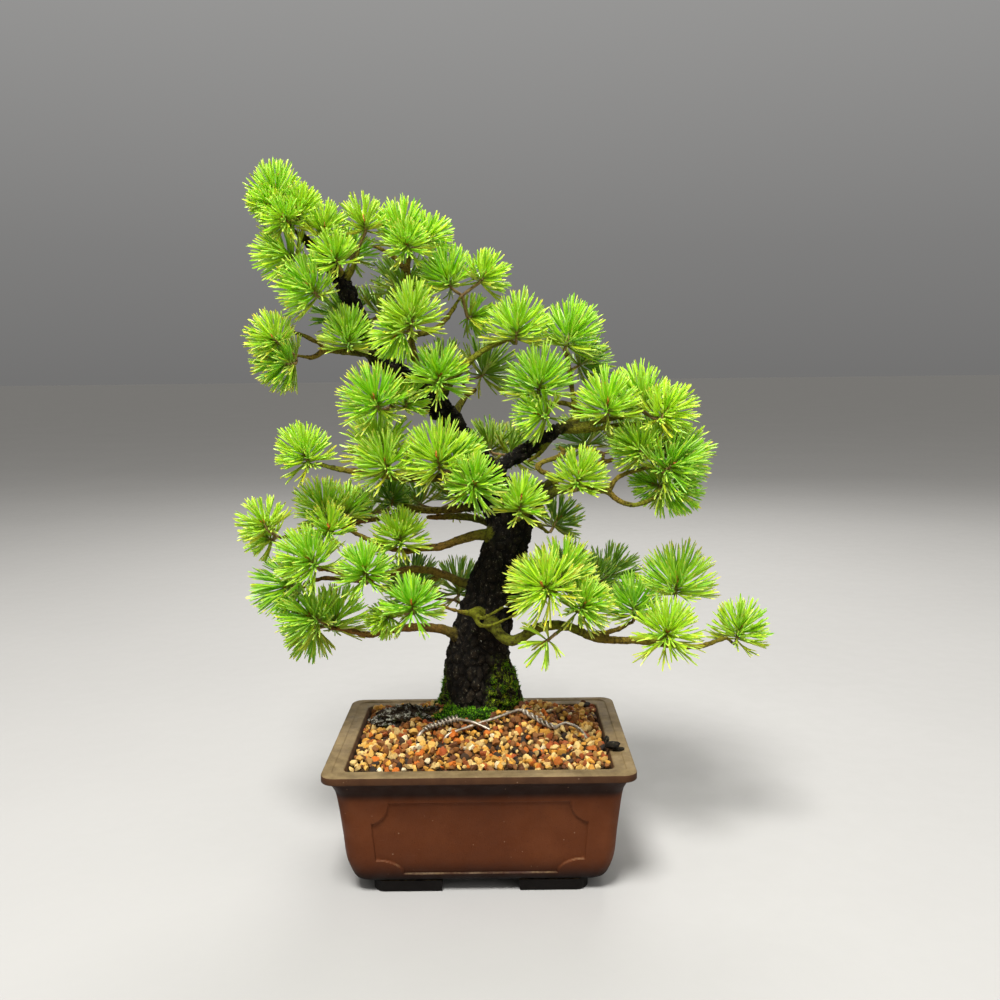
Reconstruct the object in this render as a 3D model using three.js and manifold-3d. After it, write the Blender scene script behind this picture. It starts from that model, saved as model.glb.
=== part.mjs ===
// Japanese white pine bonsai in an unglazed clay pot, in millimetres, +Z up, seen from -Y.
// The pot's centre at table level is the zero of every table below. The finished tree is then moved
// sideways, so that its origin is the middle of its bounding box at table level.

import * as THREE from 'three';
import { mergeVertices } from 'three/addons/utils/BufferGeometryUtils.js';
import Module from 'manifold-3d';

const wasm = await Module();
wasm.setup();

// Driving dimensions
const GAP = 0.3;
const EYE = new THREE.Vector3(17, -738, 370.5);
const READING_Y = 15;

const POT = {
  halfX: 110,
  halfY: 84,
  height: 94.6,
  lipBottom: 88.2,
  bodyBottom: 6.8,
  floor: 15,
  cornerSteps: 3,
  panelDepth: 1.4,
  footHalfX: 78,
  footHalfY: 64,
  footWidth: 11,
  footGapHalfX: 28,
  footGapHalfY: 22,
  drainRadius: 11,
  drainX: 48,
  wireHoleRadius: 2.6,
};

const SOIL = {
  halfX: 90,
  halfY: 64.5,
  edge: 91.5,
  mound: 17,
  moundX: 75,
  moundY: 44,
  moundCentreY: 22,
  edgeFade: 26,
  grain: 20,
  peak: 2,
  valley: -1.6,
};

const MESH_SCREEN = { half: 19, thickness: 1.2, opening: 14, pitch: 17 };
const WIRE_RADIUS = 0.9;
const WIRE_SIDES = 5;

const TRUNK_SIDES = 10;
const TRUNK_SWELL = 1.2;
const TRUNK_DEPTH_RATIO = 0.78;
const BRANCH_SIDES = { thick: 5, middle: 4, thin: 3, thickFrom: 4.4, thinUpTo: 2.7 };
const TWIG_SIDES = 3;
const ROW_TOLERANCE = 1.6;

// Needles: reach is from a tuft's heart to its tips.
const NEEDLE = {
  widestAngle: 102,
  closestAngle: 36,
  capAngle: 13,
  rootRadius: 1.7,
  footRadius: 1.9,
  tipRadius: 0.05,
  bandHeight: 3.3,
  sparseFromY: 28,
  clearance: 0.45,
  tries: 22,
  jitter: 9,
};

const COLOURS = {
  clay: 0x5f3d2b,
  soil: 0xb98a52,
  bark: 0x2b241b,
  needle: 0x86b52c,
  moss: 0x4f7d1f,
  humus: 0x3a3024,
  wire: 0x7c7874,
  plastic: 0x23262a,
};

function material(name, colour, roughness, metalness = 0) {
  return new THREE.MeshStandardMaterial({ name, color: colour, roughness, metalness });
}

const clay = material('clay', COLOURS.clay, 0.72);
const gravel = material('gravel', COLOURS.soil, 0.9);
const bark = material('bark', COLOURS.bark, 0.9);
const foliage = material('foliage', COLOURS.needle, 0.5);
const mossGreen = material('moss', COLOURS.moss, 0.95);
const humusBrown = material('humus', COLOURS.humus, 0.95);
const wireGrey = material('wire', COLOURS.wire, 0.35, 0.9);
const meshBlack = material('mesh', COLOURS.plastic, 0.6);

// Small helpers

function seeded(seed) {
  let state = seed;
  return () => {
    state = (state * 1103515245 + 12345) % 2147483648;
    return state / 2147483648;
  };
}

// A place read in the front view on the plane y = READING_Y, moved along the sight line to depth y.
function seen(x, z, y) {
  const share = (y - EYE.y) / (READING_Y - EYE.y);
  return new THREE.Vector3(EYE.x + (x - EYE.x) * share, y, EYE.z + (z - EYE.z) * share);
}

function sightScale(y) {
  return (y - EYE.y) / (READING_Y - EYE.y);
}

function smooth(edge0, edge1, value) {
  const t = THREE.MathUtils.clamp((value - edge0) / (edge1 - edge0), 0, 1);
  return t * t * (3 - 2 * t);
}

function geometryFrom(points, index) {
  const geometry = new THREE.BufferGeometry();
  const values = points.flatMap((p) => [p.x, p.y, p.z]);
  geometry.setAttribute('position', new THREE.Float32BufferAttribute(values, 3));
  geometry.setIndex(index);
  return geometry;
}

function solidFrom(geometry) {
  const bare = geometry.clone();
  bare.deleteAttribute('normal');
  bare.deleteAttribute('uv');
  const merged = mergeVertices(bare, 1e-4);
  return new wasm.Manifold(new wasm.Mesh({
    numProp: 3,
    vertProperties: new Float32Array(merged.attributes.position.array),
    triVerts: new Uint32Array(merged.index.array),
  }));
}

function meshFrom(name, solid, look) {
  const result = solid.getMesh();
  const geometry = new THREE.BufferGeometry();
  geometry.setAttribute('position', new THREE.BufferAttribute(result.vertProperties, 3));
  geometry.setIndex(new THREE.BufferAttribute(result.triVerts, 1));
  geometry.computeVertexNormals();
  const mesh = new THREE.Mesh(geometry, look);
  mesh.name = name;
  return mesh;
}

function boxSolid(minimum, maximum) {
  const size = new THREE.Vector3().subVectors(maximum, minimum);
  const centre = new THREE.Vector3().addVectors(minimum, maximum).multiplyScalar(0.5);
  return solidFrom(new THREE.BoxGeometry(size.x, size.y, size.z).translate(centre.x, centre.y, centre.z));
}

function uprightCylinder(x, y, radius, bottom, top, sides = 12) {
  const geometry = new THREE.CylinderGeometry(radius, radius, top - bottom, sides);
  return solidFrom(geometry.rotateX(Math.PI / 2).translate(x, y, (bottom + top) / 2));
}

// A closed body through rings of equal length, each anticlockwise when seen from where the loft heads.
function loft(rings) {
  const count = rings[0].length;
  const index = [];
  for (let k = 0; k < rings.length - 1; k += 1) {
    for (let i = 0; i < count; i += 1) {
      const a = k * count + i;
      const b = k * count + ((i + 1) % count);
      index.push(a, b, b + count, a, b + count, a + count);
    }
  }
  const last = (rings.length - 1) * count;
  for (let i = 1; i < count - 1; i += 1) {
    index.push(0, i + 1, i);
    index.push(last, last + i, last + i + 1);
  }
  return geometryFrom(rings.flat(), index);
}

function roundedRing(halfX, halfY, radius, z) {
  const ring = [];
  const corners = [[1, 1, 0], [-1, 1, 90], [-1, -1, 180], [1, -1, 270]];
  for (const [sideX, sideY, start] of corners) {
    for (let step = 0; step <= POT.cornerSteps; step += 1) {
      const angle = THREE.MathUtils.degToRad(start + (90 * step) / POT.cornerSteps);
      const x = sideX * (halfX - radius) + radius * Math.cos(angle);
      const y = sideY * (halfY - radius) + radius * Math.sin(angle);
      ring.push(new THREE.Vector3(x, y, z));
    }
  }
  return ring;
}

// Rings square to a path, turned from one to the next with no twist.
function framesAlong(points) {
  const frames = [];
  let across = null;
  points.forEach((point, i) => {
    const before = points[Math.max(i - 1, 0)];
    const after = points[Math.min(i + 1, points.length - 1)];
    const ahead = new THREE.Vector3().subVectors(after, before).normalize();
    if (across === null) {
      const helper = Math.abs(ahead.y) < 0.9 ? new THREE.Vector3(0, 1, 0) : new THREE.Vector3(1, 0, 0);
      across = new THREE.Vector3().crossVectors(helper, ahead).normalize();
    } else {
      across = across.clone().addScaledVector(ahead, -across.dot(ahead)).normalize();
    }
    frames.push({ point, ahead, across, up: new THREE.Vector3().crossVectors(ahead, across) });
  });
  return frames;
}

function ringAt(frame, radius, sides, turn = 0) {
  const ring = [];
  for (let i = 0; i < sides; i += 1) {
    const angle = turn + (2 * Math.PI * i) / sides;
    const size = typeof radius === 'function' ? radius(angle) : radius;
    ring.push(frame.point.clone()
      .addScaledVector(frame.across, size * Math.cos(angle))
      .addScaledVector(frame.up, size * Math.sin(angle)));
  }
  return ring;
}

function taperedTube(points, radii, sides) {
  return loft(framesAlong(points).map((frame, i) => ringAt(frame, radii[i], sides)));
}

// Pot: one lofted body from its underside over the lip to its floor, with feet, panels and holes

// Half length, half width, corner radius and height of each ring of the outside, from the underside up.
const POT_OUTSIDE = [
  [80, 56.5, 9, POT.bodyBottom],
  [87.5, 62, 10, 8.2],
  [92, 65.8, 11, 11.5],
  [94.6, 68.4, 11, 18.5],
  [97, 70.8, 11, 29],
  [98.6, 72.4, 11, 47],
  [101, 74.8, 11, 69],
  [102.4, 76.2, 11, 78],
  [105.4, 79.2, 11, 84.5],
  [109.6, 83.4, 10, POT.lipBottom],
];

const POT_LIP = [
  [POT.halfX, POT.halfY, 10, 89.2],
  [POT.halfX - 0.2, POT.halfY - 0.2, 10, 92.6],
  [POT.halfX - 1.2, POT.halfY - 1.2, 9.5, 93.5],
  [103.2, 77.2, 7, 94.1],
  [102.7, 76.7, 6.5, POT.height],
  [94.6, 68.8, 5.5, POT.height],
  [93.6, 67.8, 5, 93.9],
];

const POT_INSIDE = [
  [91.8, 66, 7, 76],
  [89.4, 64.4, 8, 50],
  [86.4, 62.4, 8, 32],
  [84.5, 60.5, 8, 19],
  [80, 57, 8, POT.floor],
];

function potRings(table, shrink = 0) {
  return table.map(([x, y, radius, z]) => roundedRing(x - shrink, y - shrink, radius, z));
}

// Each panel: half length at its top and bottom, their heights, and how wide and high its notches are
const FRONT_PANEL = {
  halfTop: 78.3,
  halfBottom: 74,
  top: 72.5,
  bottom: 15,
  notchTop: [14, 16.5],
  notchBottom: [18.5, 12],
};
const SIDE_PANEL = {
  halfTop: 54.5,
  halfBottom: 50.5,
  top: 72.5,
  bottom: 15,
  notchTop: [12.5, 15],
  notchBottom: [16, 12],
};

// A panel's outline, with a quarter ellipse bitten out of each corner.
function panelOutline(panel) {
  const { halfTop, halfBottom, top, bottom, notchTop, notchBottom } = panel;
  const shape = new THREE.Shape();
  const corner = (x, z, [wide, high], start, end) => {
    const steps = 3;
    for (let step = 0; step <= steps; step += 1) {
      const angle = THREE.MathUtils.degToRad(start + ((end - start) * step) / steps);
      const place = [x + wide * Math.cos(angle), z + high * Math.sin(angle)];
      if (step === 0 && shape.curves.length === 0 && shape.currentPoint.lengthSq() === 0) {
        shape.moveTo(...place);
      } else {
        shape.lineTo(...place);
      }
    }
  };
  corner(-halfBottom, bottom, notchBottom, 90, 0);
  corner(halfBottom, bottom, notchBottom, 180, 90);
  corner(halfTop, top, notchTop, 270, 180);
  corner(-halfTop, top, notchTop, 0, -90);
  shape.closePath();
  return shape;
}

// Bars that reach in from outside the pot to the panel's floor, which follows the wall.
function panelCutter(shape, reach, turn) {
  const geometry = new THREE.ExtrudeGeometry(shape, { depth: reach, bevelEnabled: false });
  return solidFrom(geometry.rotateX(Math.PI / 2).rotateZ(turn));
}

function pot() {
  const outside = potRings(POT_OUTSIDE);
  let body = solidFrom(loft([...outside, ...potRings(POT_LIP), ...potRings(POT_INSIDE)]));

  const core = solidFrom(loft(potRings(POT_OUTSIDE, POT.panelDepth)));
  const frontShape = panelOutline(FRONT_PANEL);
  const sideShape = panelOutline(SIDE_PANEL);
  let panels = panelCutter(frontShape, 100, 0).add(panelCutter(frontShape, 100, Math.PI));
  panels = panels.add(panelCutter(sideShape, 130, Math.PI / 2));
  panels = panels.add(panelCutter(sideShape, 130, -Math.PI / 2));
  body = body.subtract(panels.subtract(core));

  const footTop = POT.bodyBottom + 2.5;
  const footOuter = loft([
    roundedRing(POT.footHalfX, POT.footHalfY, 9, 0),
    roundedRing(POT.footHalfX, POT.footHalfY, 9, footTop),
  ]);
  const footInner = loft([
    roundedRing(POT.footHalfX - POT.footWidth, POT.footHalfY - POT.footWidth, 4, -1),
    roundedRing(POT.footHalfX - POT.footWidth, POT.footHalfY - POT.footWidth, 4, footTop + 1),
  ]);
  const gapX = boxSolid(
    new THREE.Vector3(-POT.footGapHalfX, -100, -1),
    new THREE.Vector3(POT.footGapHalfX, 100, footTop + 1),
  );
  const gapY = boxSolid(
    new THREE.Vector3(-120, -POT.footGapHalfY, -1),
    new THREE.Vector3(120, POT.footGapHalfY, footTop + 1),
  );
  const feet = solidFrom(footOuter).subtract(solidFrom(footInner)).subtract(gapX).subtract(gapY);
  body = body.add(feet);

  for (const side of [-1, 1]) {
    body = body.subtract(uprightCylinder(side * POT.drainX, 0, POT.drainRadius, 0, POT.floor + 5));
  }
  for (const place of WIRE_HOLES) {
    body = body.subtract(uprightCylinder(place.x, place.y, POT.wireHoleRadius, 0, POT.floor + 5, 8));
  }
  return body;
}

// Soil: the pot's filling, mounded to the trunk, its top raised into grains

function soilHeight(x, y) {
  const inset = Math.min(SOIL.halfX + 3 - Math.abs(x), SOIL.halfY + 2.5 - Math.abs(y));
  const spread = (x / SOIL.moundX) ** 2 + ((y - SOIL.moundCentreY) / SOIL.moundY) ** 2;
  return SOIL.edge + SOIL.mound * smooth(0, SOIL.edgeFade, inset) * Math.exp(-spread);
}

// A triangular net of points whose every third one is a grain's top, over a flat underside.
function grainSheet(random) {
  const step = SOIL.grain / Math.sqrt(3);
  const rise = (step * Math.sqrt(3)) / 2;
  const columns = Math.ceil((2 * (SOIL.halfX + 8)) / step);
  const rows = Math.ceil((2 * (SOIL.halfY + 8)) / rise);
  const top = [];
  for (let row = 0; row <= rows; row += 1) {
    for (let column = 0; column <= columns; column += 1) {
      const x = (column - columns / 2 + (row % 2) / 2) * step;
      const y = (row - rows / 2) * rise;
      const isTop = (column + 2 * Math.floor(row / 2) + (row % 2) * 2) % 3 === 0;
      const lift = isTop ? SOIL.peak * (0.6 + 0.8 * random()) : SOIL.valley * (0.5 + 0.5 * random());
      const shift = 0.26 * step;
      top.push(new THREE.Vector3(
        x + shift * (random() - 0.5),
        y + shift * (random() - 0.5),
        soilHeight(x, y) + lift,
      ));
    }
  }
  const width = columns + 1;
  const index = [];
  for (let row = 0; row < rows; row += 1) {
    for (let column = 0; column < columns; column += 1) {
      const a = row * width + column;
      const b = a + 1;
      const c = a + width;
      const d = c + 1;
      if (row % 2 === 0) {
        index.push(a, b, c, b, d, c);
      } else {
        index.push(a, b, d, a, d, c);
      }
    }
  }
  const edge = [];
  for (let column = 0; column < columns; column += 1) edge.push(column);
  for (let row = 0; row < rows; row += 1) edge.push(row * width + columns);
  for (let column = columns; column > 0; column -= 1) edge.push(rows * width + column);
  for (let row = rows; row > 0; row -= 1) edge.push(row * width);
  const start = top.length;
  const bottom = edge.map((i) => new THREE.Vector3(top[i].x, top[i].y, POT.floor - 8));
  edge.forEach((i, k) => {
    const next = (k + 1) % edge.length;
    index.push(i, start + k, start + next, i, start + next, edge[next]);
  });
  const centre = start + bottom.length;
  bottom.push(new THREE.Vector3(0, 0, POT.floor - 8));
  edge.forEach((_, k) => index.push(centre, start + ((k + 1) % edge.length), start + k));
  return geometryFrom([...top, ...bottom], index);
}

function soil(neighbours) {
  const inside = POT_INSIDE
    .map(([x, y, radius, z]) => roundedRing(x - GAP, y - GAP, radius, z + GAP))
    .reverse();
  const brim = roundedRing(93.2 - GAP, 67.4 - GAP, 5, 120);
  const filling = solidFrom(loft([...inside, brim]));
  let body = solidFrom(grainSheet(seeded(11))).intersect(filling);
  for (const neighbour of neighbours) body = body.subtract(neighbour);
  for (const side of [-1, 1]) {
    const half = MESH_SCREEN.half + GAP;
    body = body.subtract(boxSolid(
      new THREE.Vector3(side * POT.drainX - half, -half, POT.floor - 1),
      new THREE.Vector3(side * POT.drainX + half, half, POT.floor + MESH_SCREEN.thickness + 2 * GAP),
    ));
  }
  return body;
}

// Screens over the two drain holes

function meshScreen(x) {
  const low = POT.floor + GAP;
  const high = low + MESH_SCREEN.thickness;
  const half = MESH_SCREEN.half;
  let screen = boxSolid(new THREE.Vector3(x - half, -half, low), new THREE.Vector3(x + half, half, high));
  const reach = MESH_SCREEN.opening / 2;
  for (const stepX of [-0.5, 0.5]) {
    for (const stepY of [-0.5, 0.5]) {
      const centreX = x + stepX * MESH_SCREEN.pitch;
      const centreY = stepY * MESH_SCREEN.pitch;
      screen = screen.subtract(boxSolid(
        new THREE.Vector3(centreX - reach, centreY - reach, low - 1),
        new THREE.Vector3(centreX + reach, centreY + reach, high + 1),
      ));
    }
  }
  return screen;
}

// Anchor wires: each rises through the pot's floor, crosses the roots and ends in a twist

const WIRE_HOLES = [new THREE.Vector2(62, -24), new THREE.Vector2(-62, -24)];
const WIRE_UNDER = POT.bodyBottom - WIRE_RADIUS - GAP;

// Each row: x, y, z, with the stretch that is wound between two rows named apart.
const RIGHT_WIRE = {
  path: [
    [62, -16, WIRE_UNDER], [62, -22.5, WIRE_UNDER], [62, -24, 16], [62.5, -24, 34], [73, -24, 62],
    [82, -24, 86], [82.5, -23, 94], [79.3, -16.7, 97.4], [73, -6.5, 100], [66, -2.6, 101.2], [61, -5.5, 101],
    [57, -9.2, 100.6], [49.6, -5.5, 102.4], [42, 1.2, 104.8], [36, 5.4, 106.6], [33, 7.6, 108.2],
    [28, 6.6, 108.8], [20, 0.5, 108.2], [11.2, -4.4, 106.7], [-7.5, -13, 103.6], [-23.5, -20.6, 100.2],
    [-29, -24, 94],
  ],
  wound: [11, 15],
};

const LEFT_WIRE = {
  path: [
    [-62, -16, WIRE_UNDER], [-62, -22.5, WIRE_UNDER], [-62, -24, 16], [-61.5, -24, 34], [-55, -22, 70],
    [-49, -20, 93], [-45.6, -17.7, 99.6], [-42.2, -13.6, 101.4], [-37, -10, 102.9], [-31, -8.6, 104.2],
    [-23.5, -6.4, 105.8], [-17, -5.6, 106.6], [-13, -8, 106.6], [-5, -13, 106.6], [7.4, -19.5, 103],
  ],
  wound: [7, 11],
};
const WOUND_TURN = 9;
const WOUND_STEP = 2.9;

// Where two strands are wound round each other the wire has two lobes that turn along it.
function wireSolid(wire, extra) {
  const path = wire.path.map((p) => new THREE.Vector3(...p));
  const curve = new THREE.CatmullRomCurve3(path, false, 'centripetal');
  const last = wire.path.length - 1;
  const [from, to] = wire.wound;
  const points = [];
  const turns = [];
  let turn = 0;
  for (let i = 0; i < last; i += 1) {
    const start = curve.getPoint(i / last);
    const length = start.distanceTo(curve.getPoint((i + 1) / last));
    const wound = i >= from && i < to;
    const steps = wound ? Math.round(length / WOUND_STEP) : 1;
    for (let k = 0; k < steps; k += 1) {
      points.push(curve.getPoint((i + k / steps) / last));
      turns.push(wound ? turn : null);
      if (wound) turn += (2 * Math.PI * length) / steps / WOUND_TURN;
    }
  }
  points.push(curve.getPoint(1));
  turns.push(null);
  const rings = framesAlong(points).map((frame, i) => {
    if (turns[i] === null) return ringAt(frame, WIRE_RADIUS + extra, WIRE_SIDES);
    const lobed = (angle) => WIRE_RADIUS * (1.4 + 0.55 * Math.cos(2 * (angle - turns[i]))) + extra;
    return ringAt(frame, lobed, WIRE_SIDES);
  });
  return solidFrom(loft(rings));
}

// Trunk and branches: one piece of wood

// Each row: x and z read in the front view, depth y, radius. The trunk rises, then leans left to its apex.
const TRUNK = [
  [0, 84, 28, 33], [1, 100, 28, 34], [1, 113, 28, 32], [1, 135, 25, 28],
  [1.5, 155, 23, 25], [6, 182, 20, 22], [13, 210, 19, 20.2],
  [20, 240, 18, 17.5], [24, 256, 18, 17.5], [21, 272, 18, 17], [13, 286, 19, 13.5], [3, 299, 20, 11.5],
  [-13, 322, 23, 10.2], [-28, 345, 26, 9.8], [-42, 359, 27, 9.5],
  [-69, 381, 26, 8.5], [-80, 397, 24, 8.1], [-97, 434, 20, 6.6], [-106, 450, 18, 5.3],
  [-118, 464, 15, 4.4], [-130, 476, 14, 3.2],
];

const BRANCHES = {
  rightMain: [
    [8, 284, 16, 8], [15, 297, 12, 6.6], [27, 306, 10, 6], [45, 318, 8, 5.6], [57, 325, 7, 5],
    [67, 330, 5, 4],
    [83, 331.5, 3, 2.9], [93, 335, 2, 2.5], [108, 337, 2, 2.1], [114, 338, 3, 1.7],
  ],
  rightMainSecond: [
    [67, 328, 5, 3], [85, 327.5, -2, 2.1], [105, 331, -3, 1.9], [122, 332, -3, 1.7],
    [129, 332, -4, 1.5],
  ],
  rightUpper: [[64, 329, 5, 3.2], [79, 341, 8, 2.4], [68, 348, 8, 2], [61, 348, 6, 1.6]],
  rightTop: [[76, 340, 8, 2.2], [72, 360, 14, 1.9], [70, 376, 14, 1.8], [68, 386, 13, 1.5]],
  rightLower: [
    [27, 263, 12, 8], [42, 272, 3, 5.8], [52, 278, -3, 4.6], [60, 282, -6, 4], [70, 283, -9, 3.4],
    [80, 284.5, -11, 3.1], [90, 282, -12, 2.8], [100, 281, -14, 2.5],
  ],
  rightLowerUp: [
    [100, 281, -14, 2.3], [106, 290, -12, 1.9], [116, 295, -8, 1.8], [126, 297.5, -6, 1.7],
    [133, 299, -4, 1.5],
  ],
  rightLowerDown: [
    [99, 281, -14, 2.3], [108, 273.5, -16, 2], [119, 270, -14, 1.9], [131, 273, -9, 1.8],
    [139, 278, -4, 1.5],
  ],
  rightHook: [
    [60, 282, -6, 2.6], [59, 288, -10, 2.2], [55, 294, -13, 2.2], [48, 297, -15, 2.1], [46, 301, -15, 2.1],
    [52, 304.5, -15, 2], [60, 307, -13, 1.9], [66, 311, -10, 1.7], [62, 315.5, -9, 1.5],
  ],
  rightStub: [[55, 320, 7, 2.4], [47, 310, -1, 1.9], [38, 304, -4, 1.3]],
  rightBehind: [[38, 262, 24, 4.5], [48, 254, 27, 2.2]],
  frontFork: [
    [4, 188, 10, 5], [-1, 187, -1, 4.2], [-4, 186.5, -8, 4], [2, 182, -12, 2.6], [12, 186, -17, 2.1],
    [22, 192, -23, 2], [31, 197.5, -27, 1.8], [41, 201, -29, 1.6],
  ],
  frontForkSecond: [
    [-4, 184, -7, 2.6], [0, 179, -12, 2.3], [9, 180, -16, 2.1], [20, 185, -19, 2], [33, 191, -21, 1.8],
    [45, 200, -20, 1.6],
  ],
  frontForkLeft: [
    [-4, 186.5, -8, 3.4], [-12, 187, -14, 2.3], [-20, 189, -19, 2.1], [-30, 192, -25, 1.9],
    [-42, 190, -31, 1.6],
  ],
  lowRight: [
    [5, 182, 6, 6], [11, 175, -5, 4.6], [17, 168, -10, 4.2], [24, 164, -12, 4], [32, 166, -13, 3.9],
    [42, 172.5, -14, 3.7], [56, 176, -15, 3.6], [68, 175, -15, 3.4], [80, 170, -14, 3.3],
    [90, 165.5, -13, 3.1],
    [105, 163.5, -12, 2.9], [120, 163, -11, 2.7], [135, 161, -10, 2.5], [152, 158.5, -10, 2.3],
    [170, 157.5, -10, 2],
    [185, 162, -9, 1.8], [194, 165, -8, 1.5],
  ],
  lowRightUp: [[84, 168, -13, 2.6], [97, 169.5, -8, 2.1], [109, 172.5, -3, 1.9], [116, 177, 3, 1.7]],
  lowRightFan: [[137, 161, -10, 2.3], [146, 172, -2, 2], [151, 185, 4, 1.8], [152.5, 193, 6, 1.6]],
  lowRightBack: [[76, 171, -14, 2.4], [80, 180, 2, 2], [84, 192, 20, 1.8], [87, 200, 32, 1.6]],
  lowRightHanging: [[70, 175, -15, 2.2], [66, 174, -22, 1.6], [59, 168.5, -30, 1.4]],
  lowLeft: [
    [-12, 166, 16, 6], [-22, 170.5, 12, 4.4], [-31, 174, 9, 3.6], [-45, 175.5, 7, 3.2], [-60, 175, 6, 2.9],
    [-74, 172.5, 6, 2.6], [-88, 170, 6, 2.4], [-99, 173, 6, 2.1], [-104, 174, 6, 1.8],
  ],
  lowLeftTip: [[-103, 174, 6, 1.9], [-111, 175, 4, 1.5]],
  middleLeft: [
    [2, 208, 24, 5], [-12, 210, 22, 3.8], [-24, 216, 16, 3.2], [-40, 221, 8, 2.9], [-58, 221, 0, 2.7],
    [-74, 217, -6, 2.6], [-88, 213, -9, 2.5], [-102, 217.5, -10, 2.2], [-116, 222, -11, 1.9],
    [-121, 223, -12, 1.6],
  ],
  middleLeftSecond: [
    [-88, 213, -8, 2.2], [-103, 213.5, -4, 1.8], [-118, 215.5, -1, 1.7], [-130, 213, 2, 1.6],
    [-137, 210, 3, 1.5],
  ],
  middleLeftBack: [[-30, 218, 14, 2.6], [-42, 208, 22, 2], [-50, 202, 28, 1.7]],
  upperLeftArm: [
    [12, 249, 10, 5], [-2, 247.5, 3, 3.8], [-15, 244, 1, 3.3], [-30, 239, 0, 3], [-44, 238, 0, 2.7],
    [-56, 236, 1, 2.2], [-74, 240, 8, 2], [-90, 248, 14, 1.9], [-104, 255, 16, 1.7],
  ],
  middleArm: [
    [12, 276, 22, 6], [-4, 271, 24, 4], [-20, 268, 25, 3.2], [-40, 267.5, 26, 2.8], [-54, 270, 27, 2.4],
    [-62, 271, 28, 1.6],
  ],
  middleArmFar: [
    [-50, 269, 26, 2.2], [-72, 262, 34, 2], [-98, 258, 34, 1.8], [-130, 250, 20, 1.7],
    [-150, 248, 10, 1.5],
  ],
  upperArm: [
    [0, 303, 22, 6], [-14, 298, 14, 4.2], [-28, 293, 6, 3.6], [-46, 292, 0, 3.2], [-62, 293.5, -3, 2.9],
    [-84, 297, -4, 2.6], [-100, 299, -5, 2.2], [-114, 302, -6, 1.8], [-123, 305, -6, 1.5],
  ],
  crownLeft: [
    [-66, 380, 24, 5], [-80, 387, 17, 3.9], [-96, 389, 12, 3.2], [-112, 390, 10, 2.6],
    [-120, 386, 12, 2], [-126, 384, 13, 1.6],
  ],
  crownLeftTip: [[-110, 391, 10, 2], [-127, 400, 12, 1.8], [-138, 404, 13, 1.4]],
  crownRight: [
    [-30, 350, 22, 5], [-22, 362, 16, 3.6], [-11, 375, 13, 2.9], [5, 388, 11, 2.3], [18, 394, 10, 2],
    [27, 397, 10, 1.6],
  ],
  crownMiddle: [
    [-38, 358, 22, 4.4], [-44, 375, 16, 3.4], [-48, 392, 12, 2.9], [-50, 415, 16, 2.5],
    [-50, 440, 20, 2.2], [-49, 456, 18, 1.8],
  ],
  crownMiddleRight: [[-48, 400, 13, 2.6], [-32, 404, 18, 2.2], [-22, 412, 22, 2], [-15, 422, 24, 1.6]],
  crownTop: [[-98, 440, 19, 3.2], [-91, 450, 17, 2.3], [-88, 458, 18, 1.7]],
  apexStub: [[-50, 446, 19, 2.1], [-60, 458, 17, 1.9], [-70, 464, 14, 1.5], [-76, 466, 12, 1.1]],
  backLow: [[4, 176, 34, 6], [0, 184, 52, 4.2], [-6, 190, 70, 3.2], [-14, 194, 86, 2.2]],
  backLowRight: [[10, 190, 34, 5], [34, 200, 50, 3.6], [60, 205, 62, 2.8], [92, 205, 66, 1.8]],
  backMiddle: [[20, 246, 30, 5], [10, 256, 50, 3.8], [-10, 262, 66, 3], [-40, 262, 74, 2]],
  backRight: [[24, 268, 28, 5], [50, 285, 44, 3.6], [78, 298, 54, 2.8], [104, 305, 56, 1.8]],
  backUpper: [[-16, 326, 32, 4.6], [-16, 340, 50, 3.4], [-10, 352, 64, 2.6], [0, 360, 72, 1.8]],
  backCrown: [[-60, 374, 34, 4.2], [-66, 388, 48, 3.2], [-76, 398, 60, 2.4], [-90, 404, 66, 1.7]],
};

const TRUNK_GROWTH = [
  [3, 0.07, 0.4], [5, 0.05, 2.1], [8, 0.035, 4.4],
];

function trunkPath(extra) {
  const points = TRUNK.map(([x, z, y]) => seen(x, z, y));
  const rings = framesAlong(points).map((frame, i) => {
    const [, z, y, radius] = TRUNK[i];
    const flare = smooth(200, 105, z);
    const ratio = THREE.MathUtils.lerp(1, TRUNK_DEPTH_RATIO, flare);
    const size = (angle) => {
      let swell = 1;
      for (const [lobes, share, phase] of TRUNK_GROWTH) {
        swell += share * (1 + flare) * Math.sin(lobes * angle + phase + z * 0.02 * lobes);
      }
      const squeezed = Math.hypot(Math.cos(angle), ratio * Math.sin(angle));
      return radius * sightScale(y) * swell * squeezed + extra;
    };
    return ringAt(frame, size, TRUNK_SIDES);
  });
  return solidFrom(loft(rings));
}

// Rows that lie close to the straight run between their neighbours are left out.
function neededRows(points, from, to) {
  let furthest = 0;
  let pick = -1;
  const run = new THREE.Line3(points[from], points[to]);
  const nearest = new THREE.Vector3();
  for (let i = from + 1; i < to; i += 1) {
    run.closestPointToPoint(points[i], true, nearest);
    const distance = nearest.distanceTo(points[i]);
    if (distance > furthest) {
      furthest = distance;
      pick = i;
    }
  }
  if (furthest < ROW_TOLERANCE) return [from, to];
  return [...neededRows(points, from, pick), ...neededRows(points, pick, to).slice(1)];
}

function branchSides(radius) {
  if (radius > BRANCH_SIDES.thickFrom) return BRANCH_SIDES.thick;
  return radius > BRANCH_SIDES.thinUpTo ? BRANCH_SIDES.middle : BRANCH_SIDES.thin;
}

function branchPlan(table) {
  const points = table.map(([x, z, y]) => seen(x, z, y));
  const rows = neededRows(points, 0, points.length - 1);
  return { points: rows.map((i) => points[i]), radii: rows.map((i) => table[i][3]) };
}

// Foliage: each spray is a list of tufts on one green stem

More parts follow.
